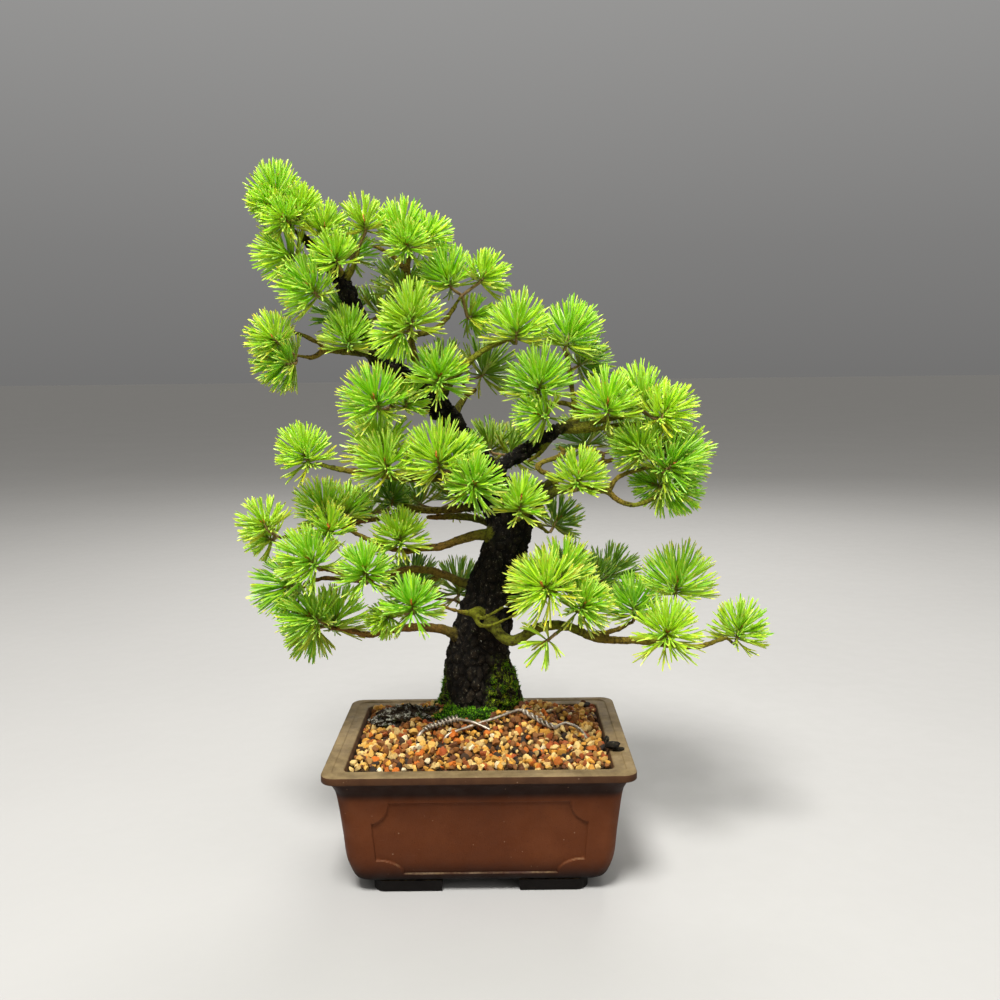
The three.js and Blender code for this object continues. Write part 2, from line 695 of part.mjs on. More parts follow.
// Each tuft: x and z of its heart read in the front view, depth y, aim (right, away, up), reach,
// bands of needles.
// A spray of several tufts names its foot too, as x, z and depth.
const SPRAYS = {
  apex: {
    foot: [-136, 481, 13],
    tufts: [
      [-146, 500, 14, [0, 0, 1], 28, 3], [-152, 496, 4, [-0.75, -0.3, 0.6], 22, 2],
      [-141, 492, 26, [0.1, 0.7, 0.7], 22, 2],
      [-128, 490, 9, [0.35, -0.3, 0.85], 28, 3], [-140, 486, -3, [-0.3, -0.8, 0.5], 20, 2],
    ],
  },
  apex_right: { tufts: [[-112, 478, 6, [0.35, -0.15, 0.9], 22, 2]] },
  left_apex: {
    foot: [-124, 447.5, 6.5],
    tufts: [[-138, 460, 10, [-0.9, -0.1, 0.4], 28, 3], [-121, 434, 0, [-0.6, -0.45, 0.6], 31, 3]],
  },
  shoulder_top: { tufts: [[-103, 457, -4, [-0.3, -0.5, 0.75], 24, 2]] },
  shoulder_peak: {
    foot: [-86, 464, 20],
    tufts: [
      [-81, 481, 19, [-0.1, 0, 0.95], 24, 2],
      [-92, 460, 34, [-0.1, 0.6, 0.7], 24, 2],
    ],
  },
  crown_peak: {
    foot: [-48, 461, 18],
    tufts: [
      [-53.5, 474, 24, [-0.1, 0.1, 1], 27, 3], [-50, 466, 4, [0.1, -0.75, 0.55], 22, 2],
      [-35, 471, 24, [0.65, 0.2, 0.7], 22, 2],
    ],
  },
  crown_front: {
    foot: [-46, 401, 2],
    tufts: [
      [-48, 412, -12, [0.05, -0.35, 0.9], 30, 3], [-57, 401, -8, [-0.7, -0.35, -0.3], 25, 2],
    ],
  },
  crown_behind: { tufts: [[-53, 436, 44, [-0.1, 0.3, 0.95], 30, 2]] },
  crown_right: {
    foot: [-11, 428, 25],
    tufts: [
      [-20, 441, 24, [-0.3, 0, 0.9], 28, 3], [6, 442, 26, [0.65, 0.1, 0.75], 23, 2],
      [-2, 414, 36, [0.7, 0.35, 0.2], 19, 2],
    ],
  },
  right_peak: { tufts: [[31, 402, 10, [0.1, -0.1, 1], 31, 3]] },
  left_shoulder: {
    foot: [-134, 386, 14],
    tufts: [
      [-151, 398, 4, [-0.7, -0.3, 0.6], 25, 2], [-142, 380.5, 9, [-0.95, -0.2, 0], 26, 3],
      [-147, 387, 32, [-0.7, 0.6, 0.2], 20, 2],
    ],
  },
  left_crown: { tufts: [[-96, 397, 2, [0, -0.2, 0.95], 26, 3]] },
  left_heart: {
    foot: [-67, 345, 0],
    tufts: [
      [-76, 350, -16, [-0.3, -0.5, 0.8], 33, 3],
      [-53, 350, 2, [0.45, -0.2, 0.85], 20, 2],
    ],
  },
  far_left: { tufts: [[-131, 310, -9, [-0.25, -0.4, 0.85], 27, 3]] },
  left_middle: {
    foot: [-72, 300, -6],
    tufts: [
      [-70, 302, -22, [-0.3, -0.45, 0.8], 30, 3],
      [-74, 316, 4, [-0.1, 0.2, 1], 33, 3],
    ],
  },
  left_under: {
    foot: [-70, 268, 38],
    tufts: [
      [-66, 276, 32, [0.1, -0.2, 0.9], 19, 2],
      [-87, 266, 52, [-0.35, 0.4, 0.8], 23, 2],
    ],
  },
  heart_front: { tufts: [[-28.5, 367, -14, [0.15, -0.6, 0.7], 30, 3]] },
  right_heart: {
    foot: [55, 347, 4],
    tufts: [
      [47.5, 361, -2, [0, -0.35, 0.95], 33, 3], [50, 339, -6, [-0.85, -0.35, 0.3], 25, 2],
    ],
  },
  middle_front: {
    foot: [-20, 297, -9],
    tufts: [
      [-29.5, 304, -20, [-0.15, -0.35, 0.9], 36, 3], [-16, 305, -8, [0.65, 0.2, 0.7], 26, 3],
      [-3, 286, -34, [0.15, -0.7, 0.5], 30, 3],
    ],
  },
  middle_back: {
    foot: [17, 309, 34],
    tufts: [
      [9, 315, 48, [-0.4, 0.35, 0.8], 25, 2],
      [26, 312, 46, [0.65, 0.3, 0.6], 25, 2],
    ],
  },
  trunk_front: { tufts: [[32, 270, -20, [0.15, -0.25, 0.95], 26, 3]] },
  right_top: { tufts: [[70, 396, 12, [0.4, 0, 0.9], 31, 3]] },
  right_back: { tufts: [[80, 378, 40, [0.8, 0.35, 0.45], 26, 2]] },
  right_pad: { tufts: [[99, 344, -10, [-0.05, -0.25, 0.95], 31, 3]] },
  right_far: {
    foot: [123, 341, 4],
    tufts: [
      [126, 348, 12, [-0.2, 0.2, 1], 31, 3],
      [142, 339, -6, [0.65, -0.35, 0.65], 28, 3],
    ],
  },
  right_face: {
    foot: [137, 301, 1],
    tufts: [
      [124, 312, -4, [-0.65, -0.3, 0.65], 27, 3], [137, 314, 16, [0, 0.3, 0.95], 27, 3],
      [146, 298, -13, [0.6, -0.5, 0.5], 32, 3],
      [151, 306, 8, [0.85, 0.15, 0.5], 30, 3],
    ],
  },
  right_edge_low: {
    foot: [141, 279.5, -1],
    tufts: [
      [147, 280, -9, [0.85, -0.25, -0.3], 27, 3],
      [137, 285, 8, [-0.8, 0.35, 0.3], 22, 2],
    ],
  },
  right_low_pad: { tufts: [[77, 290, -20, [0.25, -0.35, 0.9], 27, 3]] },
  right_shade: { tufts: [[60, 257, 32, [0.5, 0.2, 0.75], 24, 2]] },
  outer_left: {
    foot: [-154, 248, 6],
    tufts: [
      [-164, 257, -2, [-0.5, -0.2, 0.85], 25, 2],
      [-162, 247, 16, [-0.9, 0.25, 0.2], 20, 2],
    ],
  },
  outer_left_pad: { tufts: [[-129, 228, -20, [-0.5, -0.45, 0.7], 33, 3]] },
  inner_left_pad: {
    foot: [-108, 256, 14],
    tufts: [
      [-115, 252, -4, [-0.05, -0.5, 0.8], 24, 2], [-118, 267, 16, [-0.45, 0, 0.9], 28, 3],
      [-101, 267, 28, [0.3, 0.3, 0.9], 25, 2],
    ],
  },
  left_bud: { tufts: [[-60.5, 245, -8, [0, -0.4, 0.9], 27, 3]] },
  left_star: { tufts: [[-88, 219, -28, [0, -0.55, 0.8], 28, 3]] },
  outer_left_low: { tufts: [[-145, 209, 5, [-0.98, 0, 0.1], 33, 3]] },
  low_left: {
    foot: [-117, 176, 4],
    tufts: [
      [-113, 181, 14, [0.2, 0.3, 0.9], 30, 3], [-129, 184, -7, [-0.7, -0.4, 0.55], 32, 3],
      [-131, 173, 8, [-0.75, 0.1, -0.55], 25, 2],
    ],
  },
  low_left_bright: {
    foot: [-56, 187, -20],
    tufts: [
      [-52, 191, -36, [0, -0.55, 0.8], 30, 3],
      [-72, 183, -22, [-0.65, -0.65, 0], 18, 2],
    ],
  },
  low_left_back: { tufts: [[-52, 210, 36, [0, 0.15, 0.98], 28, 2]] },
  low_right_bright: {
    foot: [58, 201, -22],
    tufts: [
      [52, 205, -38, [-0.45, -0.6, 0.65], 36, 3], [63, 213, -14, [0.3, 0, 0.95], 34, 3],
      [46, 205, -14, [-0.7, 0.4, 0.6], 30, 2],
      [80, 190, -30, [0.5, -0.45, 0.6], 27, 3],
    ],
  },
  low_right_behind: { tufts: [[88, 207, 36, [0.35, 0.3, 0.8], 26, 2]] },
  low_right_fan: { tufts: [[120, 188, 8, [0, -0.05, 1], 30, 3]] },
  low_right_star: { tufts: [[146, 167, -28, [0.05, -0.55, 0.8], 33, 3]] },
  low_right_crest: { tufts: [[153, 205, 7, [0.1, 0, 1], 38, 3]] },
  low_right_tip: { tufts: [[202, 168, -7, [0.2, -0.2, 0.95], 30, 3]] },
  low_right_hanging: { tufts: [[53, 163, -36, [-0.35, -0.5, -0.6], 24, 2]] },
  back_low: {
    foot: [-18, 196, 78],
    tufts: [
      [-16, 204, 96, [0, 0.6, 0.75], 30, 2],
      [-46, 202, 78, [-0.7, 0.3, 0.6], 28, 2],
    ],
  },
  back_low_right: {
    foot: [84, 208, 66],
    tufts: [
      [100, 214, 66, [0.7, 0.2, 0.65], 30, 2],
      [72, 216, 80, [-0.2, 0.6, 0.75], 28, 2],
    ],
  },
  back_middle: {
    foot: [-30, 266, 74],
    tufts: [
      [-46, 274, 74, [-0.7, 0.3, 0.6], 30, 2],
      [-16, 278, 84, [0.3, 0.6, 0.75], 30, 2],
    ],
  },
  back_right: {
    foot: [96, 308, 60],
    tufts: [
      [112, 316, 58, [0.65, 0.2, 0.7], 30, 2],
      [82, 318, 72, [-0.3, 0.5, 0.8], 28, 2],
    ],
  },
  back_upper: {
    foot: [-10, 364, 70],
    tufts: [
      [6, 372, 72, [0.6, 0.4, 0.7], 30, 2],
      [-24, 374, 76, [-0.5, 0.5, 0.7], 28, 2],
    ],
  },
  back_crown: {
    foot: [-84, 408, 64],
    tufts: [
      [-98, 416, 66, [-0.6, 0.3, 0.75], 28, 2],
      [-70, 418, 74, [0.4, 0.5, 0.75], 28, 2],
    ],
  },
};

// A lone tuft's stem starts behind its heart, and the tufts of a wider spray each leave its foot.
const SHOOT_RADIUS = 1.25;
const LONE_STEM = 9;
const FORK_HEIGHT = 2;

function sprayPlan(name, { foot, tufts: table }) {
  const tufts = table.map(([x, z, y, aim, reach, bands]) => ({
    heart: seen(x, z, y),
    aim: new THREE.Vector3(...aim).normalize(),
    reach: reach * sightScale(y),
    bands,
  }));
  if (tufts.length === 1) {
    const [{ heart, aim }] = tufts;
    return { name, tufts, aim, base: heart.clone().addScaledVector(aim, -LONE_STEM) };
  }
  const base = seen(...foot);
  const aim = new THREE.Vector3();
  tufts.forEach((tuft) => aim.add(new THREE.Vector3().subVectors(tuft.heart, base).normalize()));
  return { name, tufts, aim: aim.normalize(), base };
}

// Wood as a chain of samples: where each is, its radius and the way it grows.
function samplesAlong(points, radii) {
  const samples = [];
  for (let i = 0; i < points.length - 1; i += 1) {
    const ahead = new THREE.Vector3().subVectors(points[i + 1], points[i]);
    const steps = Math.max(1, Math.round(ahead.length() / 3));
    for (let k = 0; k < steps; k += 1) {
      samples.push({
        place: points[i].clone().addScaledVector(ahead, k / steps),
        radius: THREE.MathUtils.lerp(radii[i], radii[i + 1], k / steps),
        ahead: ahead.clone().normalize(),
      });
    }
  }
  return samples;
}

// A twig from the nearest wood to a spray's foot, leaving the wood at a slant.
const TWIG_STEPS = 2;
const TWIG_TIP_RADIUS = 1.3;

function twigTo(spray, wood) {
  const foot = spray.base.clone().addScaledVector(spray.aim, -GAP);
  let nearest = null;
  let shortest = Infinity;
  wood.forEach((sample, i) => {
    const length = sample.place.distanceTo(foot) - sample.radius;
    if (length < shortest) {
      shortest = length;
      nearest = i;
    }
  });
  const from = wood[Math.max(nearest - 1, 0)].place.distanceTo(wood[nearest].place) < 8
    ? wood[Math.max(nearest - 1, 0)]
    : wood[nearest];
  const length = from.place.distanceTo(foot);
  const towards = new THREE.Vector3().subVectors(foot, from.place).normalize();
  const leave = towards.clone().addScaledVector(from.ahead, 0.5).normalize();
  const curve = new THREE.CubicBezierCurve3(
    from.place,
    from.place.clone().addScaledVector(leave, 0.35 * length),
    foot.clone().addScaledVector(spray.aim, -0.35 * length),
    foot,
  );
  const points = curve.getPoints(TWIG_STEPS);
  const rootRadius = Math.min(from.radius, 1.7 + 0.012 * length);
  const radii = points.map((_, i) => THREE.MathUtils.lerp(rootRadius, TWIG_TIP_RADIUS, i / TWIG_STEPS));
  return { points, radii };
}

// The last ring lies square to the spray's stem, so that the two ends face each other.
function twigSolid(twig, aim) {
  const frames = framesAlong(twig.points);
  const last = frames[frames.length - 1];
  last.ahead = aim.clone();
  last.across = last.across.clone().addScaledVector(aim, -last.across.dot(aim)).normalize();
  last.up = new THREE.Vector3().crossVectors(aim, last.across);
  return solidFrom(loft(frames.map((frame, i) => ringAt(frame, twig.radii[i], TWIG_SIDES))));
}

// Capsules stand for what a needle must not touch: two ends, two radii and the tuft they belong to.
function capsulesAlong(points, radii, owner) {
  const capsules = [];
  for (let i = 0; i < points.length - 1; i += 1) {
    capsules.push({ a: points[i], b: points[i + 1], ra: radii[i], rb: radii[i + 1], owner });
  }
  return capsules;
}

// The closest approach of two straight pieces, as shares along each and the distance.
function closestApproach(p, q) {
  const d1 = new THREE.Vector3().subVectors(p.b, p.a);
  const d2 = new THREE.Vector3().subVectors(q.b, q.a);
  const r = new THREE.Vector3().subVectors(p.a, q.a);
  const a = d1.lengthSq();
  const e = d2.lengthSq();
  const f = d2.dot(r);
  const c = d1.dot(r);
  const b = d1.dot(d2);
  const denominator = a * e - b * b;
  let s = denominator > 1e-9 ? THREE.MathUtils.clamp((b * f - c * e) / denominator, 0, 1) : 0;
  let t = (b * s + f) / e;
  if (t < 0) {
    t = 0;
    s = THREE.MathUtils.clamp(-c / a, 0, 1);
  } else if (t > 1) {
    t = 1;
    s = THREE.MathUtils.clamp((b - c) / a, 0, 1);
  }
  const distance = r.addScaledVector(d1, s).addScaledVector(d2, -t).length();
  return { s, t, distance };
}

// How far along it a needle stays clear, as a share of its length.
function clearShare(needle, obstacles) {
  let share = 1;
  for (const obstacle of obstacles) {
    const reachSum = needle.reach + obstacle.reach;
    if (needle.middle.distanceToSquared(obstacle.middle) > reachSum * reachSum) continue;
    const { s, t, distance } = closestApproach(needle, obstacle);
    const own = THREE.MathUtils.lerp(needle.ra, needle.rb, s);
    const other = THREE.MathUtils.lerp(obstacle.ra, obstacle.rb, t);
    const room = own + other + NEEDLE.clearance;
    if (distance < room) share = Math.min(share, s - room / needle.a.distanceTo(needle.b));
  }
  return share;
}

function withReach(capsule) {
  const middle = new THREE.Vector3().addVectors(capsule.a, capsule.b).multiplyScalar(0.5);
  const reach = capsule.a.distanceTo(capsule.b) / 2 + Math.max(capsule.ra, capsule.rb) + 1;
  return { ...capsule, middle, reach };
}

// A tuft's stem and core: rings from the spray's foot to the bud, the needle-bearing ones turned
// half a side each.
function tuftRings(spray, tuft) {
  const sparse = tuft.bands === 2 && tuft.heart.y > NEEDLE.sparseFromY;
  const sides = sparse ? 3 : 4;
  const coreLength = NEEDLE.bandHeight * tuft.bands;
  const start = tuft.heart.clone().addScaledVector(tuft.aim, -coreLength / 2 - 1);
  const lone = spray.tufts.length === 1;
  const stemPoints = [spray.base.clone().addScaledVector(spray.aim, lone ? 0 : FORK_HEIGHT)];
  const corePoints = [];
  for (let k = 0; k <= tuft.bands; k += 1) {
    corePoints.push(start.clone().addScaledVector(tuft.aim, k * NEEDLE.bandHeight));
  }
  const frames = framesAlong([...stemPoints, ...corePoints]);
  const first = stemPoints.length;
  frames.forEach((frame, i) => {
    if (i < first && !(lone && i === 0)) return;
    frame.ahead = tuft.aim.clone();
    frame.across = frame.across.clone().addScaledVector(tuft.aim, -frame.across.dot(tuft.aim)).normalize();
    frame.up = new THREE.Vector3().crossVectors(tuft.aim, frame.across);
  });
  const rings = frames.map((frame, i) => {
    const band = i - first;
    const wide = band >= 0;
    const edge = band === 0 || band === tuft.bands;
    const radius = wide ? NEEDLE.rootRadius * (edge ? 0.88 : 1.1) : SHOOT_RADIUS;
    return ringAt(frame, radius, sides, wide ? (Math.PI * band) / sides : 0);
  });
  return { sides, rings, first, frames };
}

function growTuft(spray, tuft, obstacles, random) {
  const { sides, rings, first, frames } = tuftRings(spray, tuft);
  const points = rings.flat();
  const index = [];
  const needles = [];
  const lastFrame = frames[frames.length - 1];
  for (let i = 1; i < sides - 1; i += 1) index.push(0, i + 1, i);

  const bud = points.length;
  points.push(lastFrame.point.clone().addScaledVector(tuft.aim, 1.4));

  const zoneStart = frames[first].point;
  const zoneLength = NEEDLE.bandHeight * tuft.bands;
  const addNeedle = (i, j, k, isCap) => {
    const corners = [points[i], points[j], points[k]];
    const root = new THREE.Vector3();
    corners.forEach((corner) => root.addScaledVector(corner, 1 / 3));
    const along = new THREE.Vector3().subVectors(root, zoneStart).dot(tuft.aim);
    const onAxis = zoneStart.clone().addScaledVector(tuft.aim, along);
    const outward = new THREE.Vector3().subVectors(root, onAxis).normalize();
    const share = THREE.MathUtils.clamp(along / zoneLength, 0, 1);
    const side = THREE.MathUtils.lerp(NEEDLE.widestAngle, NEEDLE.closestAngle, share);
    const slant = THREE.MathUtils.degToRad(isCap ? NEEDLE.capAngle : side);
    const ideal = tuft.aim.clone().multiplyScalar(Math.cos(slant)).addScaledVector(outward, Math.sin(slant));
    const length = tuft.reach * (0.86 + 0.14 * random());
    let best = null;
    for (let attempt = 0; attempt < NEEDLE.tries; attempt += 1) {
      const sway = THREE.MathUtils.degToRad(attempt === 0 ? 3 : NEEDLE.jitter);
      const way = ideal.clone().add(new THREE.Vector3(
        sway * 2 * (random() - 0.5),
        sway * 2 * (random() - 0.5),
        sway * 2 * (random() - 0.5),
      )).normalize();
      const tip = root.clone().addScaledVector(way, length);
      const needle = withReach({ a: root, b: tip, ra: NEEDLE.footRadius, rb: NEEDLE.tipRadius, owner: tuft });
      const clear = clearShare(needle, obstacles);
      if (best === null || clear > best.clear) best = { clear, way, needle };
      if (clear === 1) break;
    }
    const free = best.clear * length;
    if (free < 6) {
      index.push(i, j, k);
      return;
    }
    const tip = root.clone().addScaledVector(best.way, free);
    const place = points.length;
    points.push(tip);
    index.push(i, j, place, j, k, place, k, i, place);
    needles.push(withReach({ a: root, b: tip, ra: NEEDLE.footRadius, rb: NEEDLE.tipRadius, owner: tuft }));
  };

  for (let ring = 0; ring < rings.length - 1; ring += 1) {
    const bearing = ring >= first;
    for (let i = 0; i < sides; i += 1) {
      const a = ring * sides + i;
      const b = ring * sides + ((i + 1) % sides);
      const c = a + sides;
      const d = b + sides;
      if (bearing) {
        addNeedle(a, b, c, false);
        addNeedle(b, d, c, false);
      } else {
        index.push(a, b, d, a, d, c);
      }
    }
  }
  const top = (rings.length - 1) * sides;
  for (let i = 0; i < sides; i += 1) addNeedle(top + i, top + ((i + 1) % sides), bud, true);
  return { geometry: geometryFrom(points, index), needles };
}

function stemCapsules(spray) {
  return spray.tufts.flatMap((tuft) => {
    const { frames, first } = tuftRings(spray, tuft);
    const points = frames.map((frame) => frame.point);
    const radii = points.map((_, i) => (i < first ? SHOOT_RADIUS : NEEDLE.rootRadius * 1.1));
    return capsulesAlong(points, radii, tuft).map(withReach);
  });
}

function growSpray(spray, obstacles, random) {
  const grown = [];
  let body = null;
  for (const tuft of spray.tufts) {
    const others = [...obstacles, ...grown].filter((capsule) => capsule.owner !== tuft);
    const { geometry, needles } = growTuft(spray, tuft, others, random);
    grown.push(...needles);
    const solid = solidFrom(geometry);
    body = body === null ? solid : body.add(solid);
  }
  if (spray.tufts.length > 1) {
    const foot = spray.base.clone();
    const collar = [foot, foot.clone().addScaledVector(spray.aim, FORK_HEIGHT + 1)];
    body = body.add(solidFrom(taperedTube(collar, [SHOOT_RADIUS * 1.25, SHOOT_RADIUS], TWIG_SIDES)));
  }
  return { body, grown };
}

// The whole tree in its pot

function domeSolid(centre, size, extra, seed) {
  const geometry = new THREE.SphereGeometry(1, 10, 6).rotateX(Math.PI / 2);
  const position = geometry.attributes.position;
  for (let i = 0; i < position.count; i += 1) {
    const [x, y, z] = [position.getX(i), position.getY(i), position.getZ(i)];
    const broad = Math.sin(4.1 * x + seed) * Math.cos(5.3 * y - seed);
    const lump = 1 + 0.1 * broad + 0.05 * Math.sin(9 * x * y + seed);
    position.setXYZ(
      i,
      centre.x + x * lump * (size.x + extra),
      centre.y + y * lump * (size.y + extra),
      centre.z + z * lump * (size.z + extra),
    );
  }
  return solidFrom(geometry);
}

const MOSS = { centre: new THREE.Vector3(-11, 6, 105), size: new THREE.Vector3(21, 9, 9), seed: 1.2 };
const HUMUS = { centre: new THREE.Vector3(-62, 20, 99), size: new THREE.Vector3(24, 16, 8), seed: 3.1 };

function groundPatch(patch, extra) {
  return domeSolid(patch.centre, patch.size, extra, patch.seed);
}

function build() {
  const sprays = Object.entries(SPRAYS).map(([name, table]) => sprayPlan(name, table));
  const tree = new THREE.Group();

  const woodSamples = [];
  const woodCapsules = [];
  const woodSolids = [trunkPath(0)];
  const addWood = (points, radii) => {
    woodSamples.push(...samplesAlong(points, radii));
    woodCapsules.push(...capsulesAlong(points, radii, null).map(withReach));
  };
  addWood(TRUNK.map(([x, z, y]) => seen(x, z, y)), TRUNK.map((row) => row[3] * TRUNK_SWELL));
  for (const table of Object.values(BRANCHES)) {
    const { points, radii } = branchPlan(table);
    woodSolids.push(solidFrom(taperedTube(points, radii, branchSides(radii[0]))));
    addWood(points, radii);
  }
  for (const spray of sprays) {
    const twig = twigTo(spray, woodSamples);
    woodSolids.push(twigSolid(twig, spray.aim));
    addWood(twig.points, twig.radii);
  }
  const wood = wasm.Manifold.union(woodSolids);

  const obstacles = [...woodCapsules, ...sprays.flatMap(stemCapsules)];
  const random = seeded(2025);
  for (const spray of sprays) {
    const { body, grown } = growSpray(spray, obstacles, random);
    obstacles.push(...grown);
    tree.add(meshFrom(`needles_${spray.name}`, body, foliage));
  }

  const trunkHole = trunkPath(GAP);
  const rightHole = wireSolid(RIGHT_WIRE, GAP);
  const leftHole = wireSolid(LEFT_WIRE, GAP);
  const moss = groundPatch(MOSS, 0).subtract(trunkHole);
  const humus = groundPatch(HUMUS, 0).subtract(trunkHole);
  const neighbours = [trunkHole, rightHole, leftHole, groundPatch(MOSS, GAP), groundPatch(HUMUS, GAP)];

  tree.add(meshFrom('pot', pot(), clay));
  tree.add(meshFrom('soil', soil(neighbours), gravel));
  tree.add(meshFrom('mesh_screen_left', meshScreen(-POT.drainX), meshBlack));
  tree.add(meshFrom('mesh_screen_right', meshScreen(POT.drainX), meshBlack));
  tree.add(meshFrom('anchor_wire_right', wireSolid(RIGHT_WIRE, 0), wireGrey));
  tree.add(meshFrom('anchor_wire_left', wireSolid(LEFT_WIRE, 0), wireGrey));
  tree.add(meshFrom('moss_mound', moss, mossGreen));
  tree.add(meshFrom('humus_patch', humus, humusBrown));
  tree.add(meshFrom('trunk_and_branches', wood, bark));

  const box = new THREE.Box3().setFromObject(tree);
  tree.position.set(-(box.min.x + box.max.x) / 2, -(box.min.y + box.max.y) / 2, 0);
  return tree;
}

export default build();
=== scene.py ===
# Japanese white pine bonsai in an unglazed clay pot, dressed for rendering.
# Every table is in millimetres, with its zero at the pot's centre at table level, seen from -Y.

import math

import bmesh
import bpy
import numpy as np
from mathutils import Matrix, Vector, noise
from mathutils.bvhtree import BVHTree


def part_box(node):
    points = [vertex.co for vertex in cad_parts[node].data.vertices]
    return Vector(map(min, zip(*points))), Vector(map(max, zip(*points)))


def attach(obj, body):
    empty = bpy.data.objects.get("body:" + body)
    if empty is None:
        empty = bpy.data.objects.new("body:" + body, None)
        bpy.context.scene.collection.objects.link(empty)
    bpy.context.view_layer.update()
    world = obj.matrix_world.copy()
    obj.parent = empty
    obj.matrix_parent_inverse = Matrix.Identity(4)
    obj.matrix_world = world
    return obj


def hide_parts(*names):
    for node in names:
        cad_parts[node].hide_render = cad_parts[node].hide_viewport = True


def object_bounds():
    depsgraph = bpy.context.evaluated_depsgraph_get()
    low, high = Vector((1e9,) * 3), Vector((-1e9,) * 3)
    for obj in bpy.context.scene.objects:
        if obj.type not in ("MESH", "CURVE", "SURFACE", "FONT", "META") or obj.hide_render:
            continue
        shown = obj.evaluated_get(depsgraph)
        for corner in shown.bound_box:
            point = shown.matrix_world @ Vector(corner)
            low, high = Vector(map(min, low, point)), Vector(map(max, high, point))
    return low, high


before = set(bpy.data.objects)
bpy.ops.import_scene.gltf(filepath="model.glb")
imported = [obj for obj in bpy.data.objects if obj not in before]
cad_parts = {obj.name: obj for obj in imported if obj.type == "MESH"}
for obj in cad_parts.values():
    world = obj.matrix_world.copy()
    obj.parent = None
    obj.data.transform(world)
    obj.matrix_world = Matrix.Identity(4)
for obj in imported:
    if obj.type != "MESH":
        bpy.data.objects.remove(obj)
CAD_BOX = [list(corner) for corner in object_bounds()]

# Where the tables' zero lies in the row frame, in metres
POT_LOW, POT_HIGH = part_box("pot")
SHIFT = np.array([(POT_LOW.x + POT_HIGH.x) / 2, (POT_LOW.y + POT_HIGH.y) / 2, 0.0])
MM = 0.001
# The range of a turn drawn at random, in radians
ANY_TURN = (0, 6.28)
# Where each piece's random numbers start; each spray adds its place in the table
SEEDS = {"sprays": 100, "stones": 41, "moss": 77, "humus": 12, "chips": 5, "flecks": 8}
# How far needle tips stay inside the box of the CAD model
BOX_MARGIN = 0.4

# Camera, solved from the pot's rim and feet
EYE = np.array([16.9, -737.8, 370.5])
PITCH_DOWN = math.radians(7.24)
ROLL = math.radians(-0.64)
FOCAL_PIXELS = 989
IMAGE_PIXELS = 1000
SENSOR = 36.0
# The depth at which the front view was read
READING_Y = 15.0

POT = {
    "panel_depth": 1.5, "foot_half_x": 78, "foot_half_y": 64, "foot_width": 11, "foot_gap_x": 28,
    "foot_gap_y": 22, "foot_radius": 9, "foot_inner_radius": 4, "drain_radius": 11, "drain_x": 48,
    "wire_hole_radius": 2.6,
}
# Each row: half length, half depth, corner radius, height
POT_OUTSIDE = [
    (80, 56.5, 9, 6.8), (84.5, 59.6, 9.6, 7.2), (87.5, 62, 10, 8.2), (90.4, 64.4, 10.6, 9.9),
    (92, 65.8, 11, 11.5), (94.6, 68.4, 11, 18.5), (97, 70.8, 11, 29), (98.6, 72.4, 11, 47),
    (101, 74.8, 11, 69), (102.4, 76.2, 11, 78), (103.4, 77.2, 11, 81), (105.4, 79.2, 11, 85),
    (108.2, 82, 10.4, 88.1), (109.6, 83.2, 10, 88.9),
]
POT_LIP = [
    (110.5, 83.8, 10, 89.1), (110.8, 84, 10, 89.6), (110.8, 84, 10, 93.5), (110.65, 83.9, 9.9, 94.15),
    (110.2, 83.5, 9.7, 94.5), (109.6, 83, 9.5, 94.6), (104.4, 78.2, 7.6, 94.6), (104, 77.8, 7.4, 94.45),
    (103.7, 77.5, 7.2, 93.95), (103.2, 77, 7, 93.75), (97.4, 70.8, 5.8, 93.75), (96.5, 70, 5.2, 93.5),
    (95.8, 69.4, 5, 92.9),
]
POT_INSIDE = [
    (91.8, 66, 7, 76), (89.4, 64.4, 8, 50), (86.4, 62.4, 8, 32), (84.5, 60.5, 8, 19), (80, 57, 8, 15),
]
# Edges sharper than these stay sharp, in degrees
POT_CREASE = 40
STONE_CREASE = 24
# Heights of the outside wall's rows, close together at the panels' edges and notches
POT_ROWS = [
    6.8, 6.9, 7.1, 7.4, 7.8, 8.3, 8.9, 9.6, 10.4, 11.3, 12.2, 13.2, 14.2, 14.7, 14.95, 15.2, 15.5, 15.85,
    16.3, *np.arange(17, 28.5, 0.8), *np.arange(30, 54.5, 3.5), *np.arange(55, 71.3, 0.8), 71.6, 71.9,
    72.2, 72.5, 72.8, 73.4, 74.5, 76, 77.5, 79, 80.2, 81.4, 82.6, 83.7, 84.7, 85.6, 86.4, 87.1, 87.6, 88,
]
# Panels: half length at the top and bottom, then how wide and high the notches are
FRONT_PANEL = {"half_top": 78.3, "half_bottom": 74, "notch_top": (14, 16.5), "notch_bottom": (18.5, 12)}
SIDE_PANEL = {"half_top": 54.5, "half_bottom": 50.5, "notch_top": (12.5, 15), "notch_bottom": (16, 12)}
PANEL_BOTTOM = 15.0
PANEL_TOP = 72.5
# The width of the slope at a panel's edge
PANEL_EDGE = 0.8
# How far a panel's upright edge stays from the corner's curve, at least
PANEL_CLEAR = 0.9
# Each row of a foot: its height, and how far its outline lies inside the full one
FOOT_ROWS = [(0, 1.0), (0.35, 0.45), (1.1, 0.08), (5, 0.0), (8.6, -0.2)]
WIRE_HOLES = [(62, -24), (-62, -24)]
# Heights between which the holes are cut
HOLE_CUT = (2, 24)
# The screens under the drain holes: half their side, and their bars
SCREEN = {"half": 19, "thickness": 1.2, "pitch": 3.2, "bar": 0.9}
WIRE_RADIUS = 1.15
# How far the wires lie above their readings, on top of the stones
WIRE_LIFT = 1.6

TRUNK_DEPTH_RATIO = 0.78
# Between these heights the flare of the trunk's foot dies out
TRUNK_FLARE = (105, 200)
